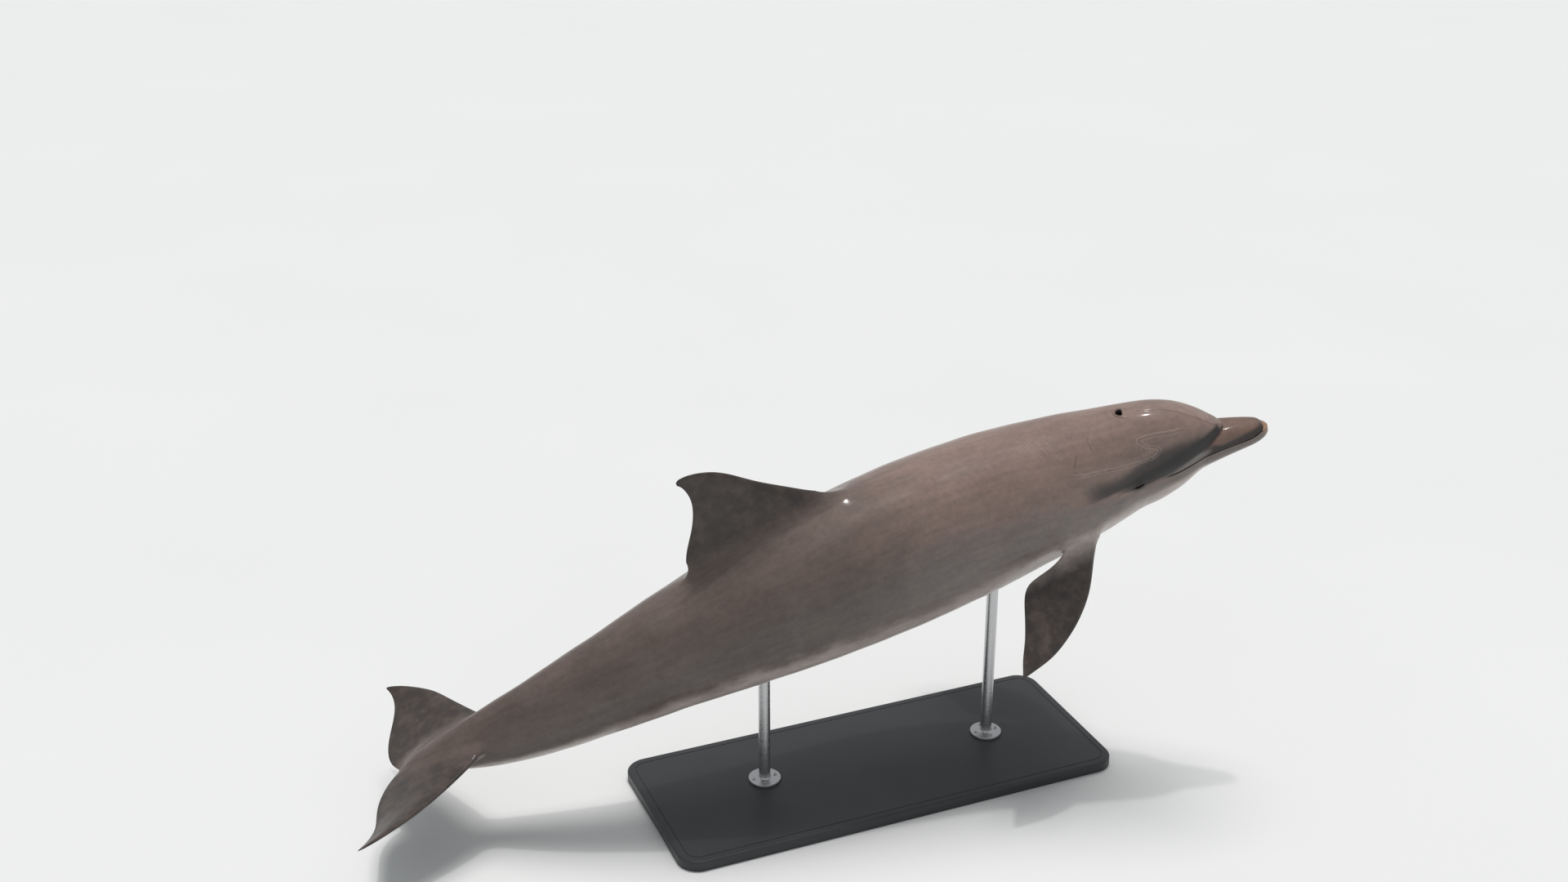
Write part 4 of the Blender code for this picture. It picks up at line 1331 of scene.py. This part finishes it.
def scratches(wires, run):
    """Masks of the pale and of the dark scratches."""
    group = scratch_group()
    wave = wires.noise(run, 42.0, 2.0)
    wave = wires.between(wave, 0.25, 0.75, -SCRATCH_WAVE, SCRATCH_WAVE)
    wavy = wires.vector("ADD", run, wires.joined(wave))
    worn = wires.between(wires.noise(run, 150.0, 2.0), 0.35, 0.62, 0.35, 1.0)
    masks = []
    for rows in (PALE_SCRATCHES, DARK_SCRATCHES):
        total = 0.0
        for start, end, half in rows:
            out = Vector((0.0, start[1] + end[1], start[2] + end[2])).normalized()
            ends = (("Start", start), ("End", end), ("Out", out), ("Half Width", half))
            inputs = (("Place", wavy), *ends)
            made = wires.node("ShaderNodeGroup", inputs, node_tree=group)
            total = wires.most(total, made.outputs[0])
        masks.append(wires.times(total, worn))
    return masks


def dried_film(wires, run):
    """Mask of the film's double edge, its loop and its blotches."""
    wobble = wires.between(wires.noise(run, 70.0, 2.0), 0.2, 0.8, -0.0011, 0.0011)
    film = wires.plus(wires.attribute("film"), wobble)
    edge = wires.line(film, 0.0013, 0.0003)
    twin = wires.line(wires.plus(film, 0.0080), 0.0011, 0.0003, 0.7)
    lines = wires.times(wires.most(edge, twin), wires.attribute("film_seen"))
    loop = wires.plus(wires.attribute("film_loop"), wires.times(wobble, 1.6))
    loop = wires.line(wires.math("SUBTRACT", loop, FILM_LOOP_RADIUS), 0.0013, 0.0003, 0.6)
    cloudy = wires.between(wires.noise(run, 130.0, 3.0), 0.45, 0.62)
    blotch = wires.times(wires.line(wires.plus(film, 0.003), 0.008, 0.002, 0.4), cloudy)
    blotch = wires.times(blotch, wires.attribute("film_blotch"))
    return wires.most(wires.most(lines, loop), blotch)


def skin_look(wires):
    run = wires.attribute("straight", vector=True)
    pale, dark = scratches(wires, run)
    marks = wires.most(wires.times(pale, 0.62), wires.times(dried_film(wires, run), 0.55))
    colour = wires.mix(marks, skin_colour(wires, run), PALE_LINE)
    # A thin line of painted shade along the edge of the melon's band
    rim = wires.line(wires.attribute("melon"), 0.0016, 0.0002, 0.22)
    colour = wires.mix(wires.times(rim, wires.attribute("melon_seen")), colour, PAINTED_SHADE)
    colour = wires.mix(wires.times(dark, 0.75), colour, DARK_LINE)
    # Painted shade in the grooves and hollows
    crevice_shade = wires.between(wires.attribute("crevice_shade"), 0.1, 0.9)
    ripple = wires.noise(wires.vector("MULTIPLY", run, (1.6, 1.0, 1.0)), 34.0, 2.0)
    height = wires.plus(ripple, wires.times(wires.noise(run, 220.0, 3.0), 0.18))
    height = wires.plus(height, wires.times(pale, -0.25))
    height = wires.plus(height, wires.times(dark, -0.4))
    return {
        "Base Color": wires.mix(crevice_shade, colour, CREVICE_SHADE),
        "Roughness": wires.varied(wires.noise(run, 9.0, 4.0), 0.44, 0.56),
        "Specular IOR Level": 0.35,
        "Coat Weight": 0.5,
        "Coat Roughness": 0.11,
        "Coat IOR": 1.36,
        "Normal": wires.bump(height, 0.0009),
    }


def eye_look(wires):
    look = wires.attribute("look", vector=True)
    across, above, _ = wires.node("ShaderNodeSeparateXYZ", ((0, look),)).outputs
    iris = wires.vector("LENGTH", look, result=1)
    squeezed = wires.vector("MULTIPLY", look, (0.62, 1.25, 0.0))
    pupil = wires.vector("LENGTH", squeezed, result=1)
    angle = wires.math("ARCTAN2", above, across)
    spokes = wires.joined(wires.times(angle, 7.0), wires.times(iris, 2.0))
    fibres = wires.noise(spokes, 3.0, 3.0)
    ring = wires.mix(fibres, (0.028, 0.016, 0.010), (0.080, 0.045, 0.026))
    colour = wires.mix(wires.between(pupil, 0.22, 0.26), (0.004, 0.004, 0.005), ring)
    return {
        "Base Color": wires.mix(wires.between(iris, 0.52, 0.60), colour, (0.020, 0.016, 0.015)),
        "Roughness": 0.22,
        "Specular IOR Level": 0.05,
        "Coat Weight": 0.40,
        "Coat Roughness": 0.02,
    }


def lacquer_look(wires):
    place = wires.place()
    cloud = wires.noise(place, 6.0, 4.0)
    return {
        "Base Color": wires.mix(cloud, (0.020, 0.021, 0.023), (0.034, 0.035, 0.038)),
        "Roughness": wires.varied(cloud, 0.36, 0.46),
        "Normal": wires.bump(wires.noise(place, 420.0, 3.0), 0.0002),
    }


def steel_look(wires):
    brushed = wires.noise(wires.vector("MULTIPLY", wires.place(), (1.0, 1.0, 260.0)), 5.0, 4.0)
    return {
        "Base Color": wires.mix(brushed, (0.46, 0.46, 0.47), (0.62, 0.62, 0.63)),
        "Roughness": wires.varied(brushed, 0.22, 0.36),
        "Metallic": 1.0,
        "Normal": wires.bump(brushed, 0.0001),
    }


def rubber_look(wires):
    fine = wires.noise(wires.place(), 700.0, 3.0)
    return {
        "Base Color": wires.mix(fine, (0.010, 0.010, 0.011), (0.022, 0.022, 0.023)),
        "Roughness": 0.7,
        "Normal": wires.bump(fine, 0.0002),
    }


def floor_look(wires):
    cloud = wires.noise(wires.place(), 0.7, 2.0)
    return {
        "Base Color": wires.mix(cloud, (0.66, 0.67, 0.67), (0.69, 0.70, 0.70)),
        "Roughness": 0.7,
    }


# ---- pieces


def eyeball(name, side):
    """The ball between the lids, its pole looking out; look holds the place across its front."""
    rings, sides = 40, 48
    axis = np.array((-0.10, side, -0.06))  # the eye looks a little forward and down
    axis /= np.linalg.norm(axis)
    above = np.array((0.0, 0.0, 1.0))
    above -= axis * (axis @ above)
    above /= np.linalg.norm(above)
    back = np.cross(axis, above)
    centre = np.array((EYE[0], side * (EYE[1] - EYE_SINK), EYE[2]))
    polar = np.linspace(0, np.pi, rings + 1)[1:-1]
    around = np.linspace(0, 2 * np.pi, sides, endpoint=False)
    flat = np.sin(polar)[:, None, None] * (
        np.cos(around)[None, :, None] * back + np.sin(around)[None, :, None] * above
    )
    points = centre + EYE_RADIUS * (flat + np.cos(polar)[:, None, None] * axis)
    front = (np.cos(around), np.sin(around), 0 * around)
    look = np.stack([np.outer(polar, part) for part in front], axis=-1).reshape(-1, 3)
    ends = [centre + EYE_RADIUS * axis, centre - EYE_RADIUS * axis]
    points = np.vstack([points.reshape(-1, 3), ends])
    faces = ring_faces(rings - 1, sides)
    first, last = len(points) - 2, len(points) - 1
    for j in range(sides):
        k = (j + 1) % sides
        faces.append((j, k, first))
        faces.append((first - sides + j, first - sides + k, last))
    obj = new_object(name, pose(points), faces)
    write(obj.data, "look", np.vstack([look, [(0, 0, 0), (3, 0, 0)]]), "FLOAT_VECTOR")
    obj.data.materials.append(new_material("wet_eye", eye_look))
    return obj


def sharpened(obj, degrees=35):
    """Keeps the edges that turn by more than this crisp in a smooth-shaded mesh."""
    shape = bmesh.new()
    shape.from_mesh(obj.data)
    for edge in shape.edges:
        if len(edge.link_faces) == 2 and edge.calc_face_angle() > np.radians(degrees):
            edge.smooth = False
    shape.to_mesh(obj.data)
    shape.free()
    return obj


BASE_ROUND = 0.006
QUARTER_STEPS = 20


def base_outline(inset):
    """Rounded rectangle this far inside the edge of the base."""
    length, width, _ = BASE_SIZE
    corner = BASE_CORNER - inset
    points = []
    for quarter, (x, y) in enumerate(((1, 1), (-1, 1), (-1, -1), (1, -1))):
        cx, cy = (length / 2 - BASE_CORNER) * x, (width / 2 - BASE_CORNER) * y
        for step in range(QUARTER_STEPS + 1):
            angle = np.pi / 2 * (quarter + step / QUARTER_STEPS)
            points.append((cx + corner * np.cos(angle), cy + corner * np.sin(angle)))
    return points


def display_base():
    """Slab with a rounded edge and a fine groove cut round its top."""
    top = BASE_SIZE[2]
    loops = [(0.0025, 0.0), (0.0006, 0.0008), (0.0, 0.0025), (0.0, top - BASE_ROUND)]
    for angle in np.pi / 2 * np.arange(1, 7) / 6:
        inset, drop = BASE_ROUND * (1 - np.cos(angle)), BASE_ROUND * (1 - np.sin(angle))
        loops.append((inset, top - drop))
    loops += [(0.0220, top), (0.0224, top - 0.0012), (0.0240, top - 0.0012), (0.0244, top)]
    points = [(x, y, z) for inset, z in loops for x, y in base_outline(inset)]
    size = len(base_outline(0.0))
    faces = ring_faces(len(loops), size)
    faces.append(tuple(range(size)))
    faces.append(tuple(range((len(loops) - 1) * size, len(loops) * size)))
    obj = sharpened(new_object("display_base", points, faces))
    obj.data.materials.append(new_material("stand_lacquer", lacquer_look))
    return obj


ROD_SIDES = 64
ROD_CLEAR = 0.0006  # left between a rod's top and the belly
FOOT_BOTTOM = BASE_SIZE[2] + 0.0003
FOOT_TOP = FOOT_BOTTOM + ROD_FOOT_HEIGHT
SCREWS = 4
SCREW_RING = 0.0325  # radius of the circle that the screws stand on


def rod_foot(station):
    under = pose((station, 0.0, float(trunk_bottom(station))))
    return under[0], under[1]


def turned(name, centre, profile, top_height, closed):
    """A turned piece. profile is radius, height and whether that is from top_height(x, y).

    A closed one ends in flat caps. One that isn't joins its last ring to its first."""
    angles = np.linspace(0, 2 * np.pi, ROD_SIDES, endpoint=False)
    points = []
    for radius, height, follows in profile:
        for angle in angles:
            x, y = centre[0] + radius * np.cos(angle), centre[1] + radius * np.sin(angle)
            points.append((x, y, top_height(x, y) + height if follows else height))
    faces = ring_faces(len(profile), ROD_SIDES)
    last = (len(profile) - 1) * ROD_SIDES
    if closed:
        faces.append(tuple(range(ROD_SIDES)))
        faces.append(tuple(range(last, last + ROD_SIDES)))
    else:
        for j in range(ROD_SIDES):
            k = (j + 1) % ROD_SIDES
            faces.append((last + j, last + k, k, j))
    return sharpened(new_object(name, points, faces))


def display_rod(which, skin_tree, steel, pad):
    """A flanged rod, and the soft collar that meets the belly."""
    centre = rod_foot(ROD_STATIONS[which])

    def belly(x, y):
        hit = skin_tree.ray_cast((x, y, 0.0), (0, 0, 1))[0]
        return hit[2] - ROD_CLEAR

    foot, r = ROD_FOOT_RADIUS, ROD_RADIUS
    flange = (
        (foot - 0.0006, FOOT_BOTTOM),
        (foot, FOOT_BOTTOM + 0.0006),
        (foot, FOOT_TOP - 0.0020),
        (foot - 0.0006, FOOT_TOP - 0.0006),
        (foot - 0.0020, FOOT_TOP),
        (r + 0.0050, FOOT_TOP),
        (r + 0.0022, FOOT_TOP + 0.0012),
        (r + 0.0006, FOOT_TOP + 0.0035),
        (r, FOOT_TOP + 0.0070),
    )
    head = ((r, -0.022), (r, 0.0), (r * 0.66, 0.0), (r * 0.33, 0.0), (r * 0.05, 0.0))
    profile = [(*row, False) for row in flange] + [(*row, True) for row in head]
    rod = turned("display_rod_" + which, centre, profile, belly, True)
    rod.data.materials.append(steel)
    inner, wide = r + 0.0003, r + 0.0050
    ring = (
        (inner, -0.0205, True),
        (wide - 0.0015, -0.0205, True),
        (wide, -0.0190, True),
        (wide, -0.0015, True),
        (wide - 0.0012, -0.0002, True),
        (inner, 0.0, True),
    )
    collar = turned("display_pad_" + which, centre, ring, belly, False)
    collar.data.materials.append(pad)
    return rod, collar


def screw_mesh():
    """A socket-head screw standing on the origin, with a six-sided socket."""
    sides = 24
    turns = 2 * np.pi * np.arange(sides) / sides
    hexagon = np.cos(np.pi / 6) / np.cos((turns + np.pi / 6) % (np.pi / 3) - np.pi / 6)
    round_rings = ((0.0042, 0.0), (0.0042, 0.0026), (0.0036, 0.0032), (0.0023, 0.0032))
    rings = [(radius, height, 1 + 0 * turns) for radius, height in round_rings]
    rings += [(0.0021, height, hexagon) for height in (0.0032, 0.0012)]
    shape = bmesh.new()
    loops = []
    for radius, height, flat in rings:
        xs, ys = radius * flat * np.cos(turns), radius * flat * np.sin(turns)
        loops.append([shape.verts.new((x, y, height)) for x, y in zip(xs, ys)])
    for low, high in zip(loops[:-1], loops[1:]):
        for i in range(sides):
            k = (i + 1) % sides
            shape.faces.new((low[i], low[k], high[k], high[i]))
    shape.faces.new(loops[0][::-1])
    shape.faces.new(loops[-1])
    mesh = bpy.data.meshes.new("screw")
    shape.to_mesh(mesh)
    shape.free()
    return mesh


def ring_of_screws(steel):
    """Geometry nodes that set copies of a screw round a circle, and their inputs' identifiers."""
    inputs = (
        ("Geometry", "Geometry"),
        ("Screw", "Object"),
        ("Count", "Int"),
        ("Pitch Radius", "Float"),
        ("Centre", "Vector"),
    )
    tree, wires, given, ids = new_group(
        "ring of screws", "GeometryNodeTree", inputs, ("Geometry", "Geometry")
    )
    circle = wires.node(
        "GeometryNodeMeshCircle", (("Vertices", given["Count"]), ("Radius", given["Pitch Radius"]))
    )
    taken = wires.node("GeometryNodeObjectInfo", (("Object", given["Screw"]),))
    copies = wires.node(
        "GeometryNodeInstanceOnPoints",
        (("Points", circle.outputs["Mesh"]), ("Instance", taken.outputs["Geometry"])),
    )
    real = wires.node("GeometryNodeRealizeInstances", ((0, copies.outputs[0]),))
    moved = wires.node(
        "GeometryNodeTransform",
        (("Geometry", real.outputs[0]), ("Translation", given["Centre"])),
    )
    painted = wires.node(
        "GeometryNodeSetMaterial", (("Geometry", moved.outputs[0]), ("Material", steel))
    )
    wires.node("NodeGroupOutput", ((0, painted.outputs[0]),))
    return tree, ids


def flange_screws(which, rig, pattern):
    tree, ids = rig
    holder = bpy.data.objects.new("flange_screws_" + which, bpy.data.meshes.new("holder"))
    bpy.context.scene.collection.objects.link(holder)
    modifier = holder.modifiers.new("screws", "NODES")
    modifier.node_group = tree
    modifier[ids["Screw"]] = pattern
    modifier[ids["Count"]] = SCREWS
    modifier[ids["Pitch Radius"]] = SCREW_RING
    modifier[ids["Centre"]] = (*rod_foot(ROD_STATIONS[which]), FOOT_TOP)
    holder.update_tag()
    graph = bpy.context.evaluated_depsgraph_get()
    mesh = bpy.data.meshes.new_from_object(holder.evaluated_get(graph))
    holder.modifiers.clear()
    holder.data = mesh
    return holder


skin, straight, blade_share = joined_skin()
write(skin.data, "straight", straight, "FLOAT_VECTOR")
write_markings(skin.data, straight, blade_share)
skin.data.vertices.foreach_set("co", pose(straight).astype(np.float32).ravel())
skin.data.flip_normals()  # pose() swaps left and right hand
skin.data.update()
skin.data.shade_smooth()
skin.data.materials.clear()
skin.data.materials.append(new_material("wet_skin", skin_look))
FLESH = ("head", "upper_jaw", "lower_jaw", "neck", "chest", "loin", "tail_stock", "dorsal_fin")
FLESH += ("flipper_left", "flipper_right", "fluke_left", "fluke_right")
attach(skin, "root")
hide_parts(*FLESH)

for name, side in (("left", 1), ("right", -1)):
    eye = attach(eyeball("eyeball_" + name, side), "root")
    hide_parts("eye_" + name)

steel = new_material("brushed_steel", steel_look)
pad = new_material("stand_pad", rubber_look)
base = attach(display_base(), "root")
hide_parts("stand_base")
pattern = bpy.data.objects.new("screw_pattern", screw_mesh())
rig = ring_of_screws(steel)
skin_tree = tree_of(skin)
for which in ROD_STATIONS:
    rod, collar = display_rod(which, skin_tree, steel, pad)
    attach(rod, "root")
    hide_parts("stand_rod_" + which)
    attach(collar, "root")
    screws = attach(flange_screws(which, rig, pattern), "root")
bpy.data.objects.remove(pattern)


# ---- studio


FLOOR_RADIUS = 60.0
FLOOR_SIDES = 128


def studio_floor():
    turns = np.linspace(0, 2 * np.pi, FLOOR_SIDES, endpoint=False)
    points = FLOOR_RADIUS * np.stack([np.cos(turns), np.sin(turns), 0 * turns], axis=1)
    obj = new_object("studio_floor", points, [tuple(range(FLOOR_SIDES))], smooth=False)
    obj.data.materials.append(new_material("studio_floor", floor_look))


def sun_light(name, azimuth, elevation, spread_degrees, strength, colour, glints):
    """A far lamp: a wide spread gives soft shadows, and glints says whether gloss shows it."""
    data = bpy.data.lights.new(name, "SUN")
    data.angle = np.radians(spread_degrees)
    data.energy = strength
    data.color = colour
    lamp = bpy.data.objects.new(name, data)
    az, el = np.radians(azimuth), np.radians(elevation)
    way = Vector((np.cos(az) * np.cos(el), np.sin(az) * np.cos(el), np.sin(el)))
    lamp.location = way * 6
    lamp.rotation_euler = (-way).to_track_quat("-Z", "Y").to_euler()
    lamp.visible_glossy = glints
    bpy.context.scene.collection.objects.link(lamp)


studio_floor()
sun_light("soft_overhead", 60, 76, 26, 2.1, (1.0, 0.975, 0.95), False)
sun_light("small_overhead", 60, 81, 2.0, 0.55, (1.0, 0.98, 0.96), True)

world = bpy.data.worlds.new("studio")
world.use_nodes = True
background = world.node_tree.nodes["Background"].inputs
background["Color"].default_value = (0.90, 0.93, 0.95, 1.0)
background["Strength"].default_value = 0.52
bpy.context.scene.world = world
bpy.context.scene.view_settings.view_transform = "Standard"

# ---- camera: azimuth and height it looks from, and where the middle of its view lies

VIEW_AZIMUTH = np.radians(-22.6)
VIEW_ELEVATION = np.radians(23.7)
VIEW_DISTANCE = 5.0
VIEW_SIDE = -0.208
VIEW_RISE = 0.341
VIEW_SENSOR = 36
VIEW_LENS = 2273 / 1920 * VIEW_SENSOR


def studio_camera():
    az, el = VIEW_AZIMUTH, VIEW_ELEVATION
    towards = np.array((np.sin(az) * np.cos(el), -np.cos(az) * np.cos(el), np.sin(el)))
    right = np.array((np.cos(az), np.sin(az), 0.0))
    above = np.cross(towards, right)
    place = np.array(BODY_PLACE) + towards * VIEW_DISTANCE + right * VIEW_SIDE + above * VIEW_RISE
    data = bpy.data.cameras.new("camera")
    data.sensor_width = VIEW_SENSOR
    data.lens = VIEW_LENS
    data.clip_end = 200
    camera = bpy.data.objects.new("camera", data)
    camera.location = Vector(place)
    camera.rotation_mode = "QUATERNION"
    camera.rotation_quaternion = Vector(-towards).to_track_quat("-Z", "Y")
    bpy.context.scene.collection.objects.link(camera)
    bpy.context.scene.camera = camera


studio_camera()
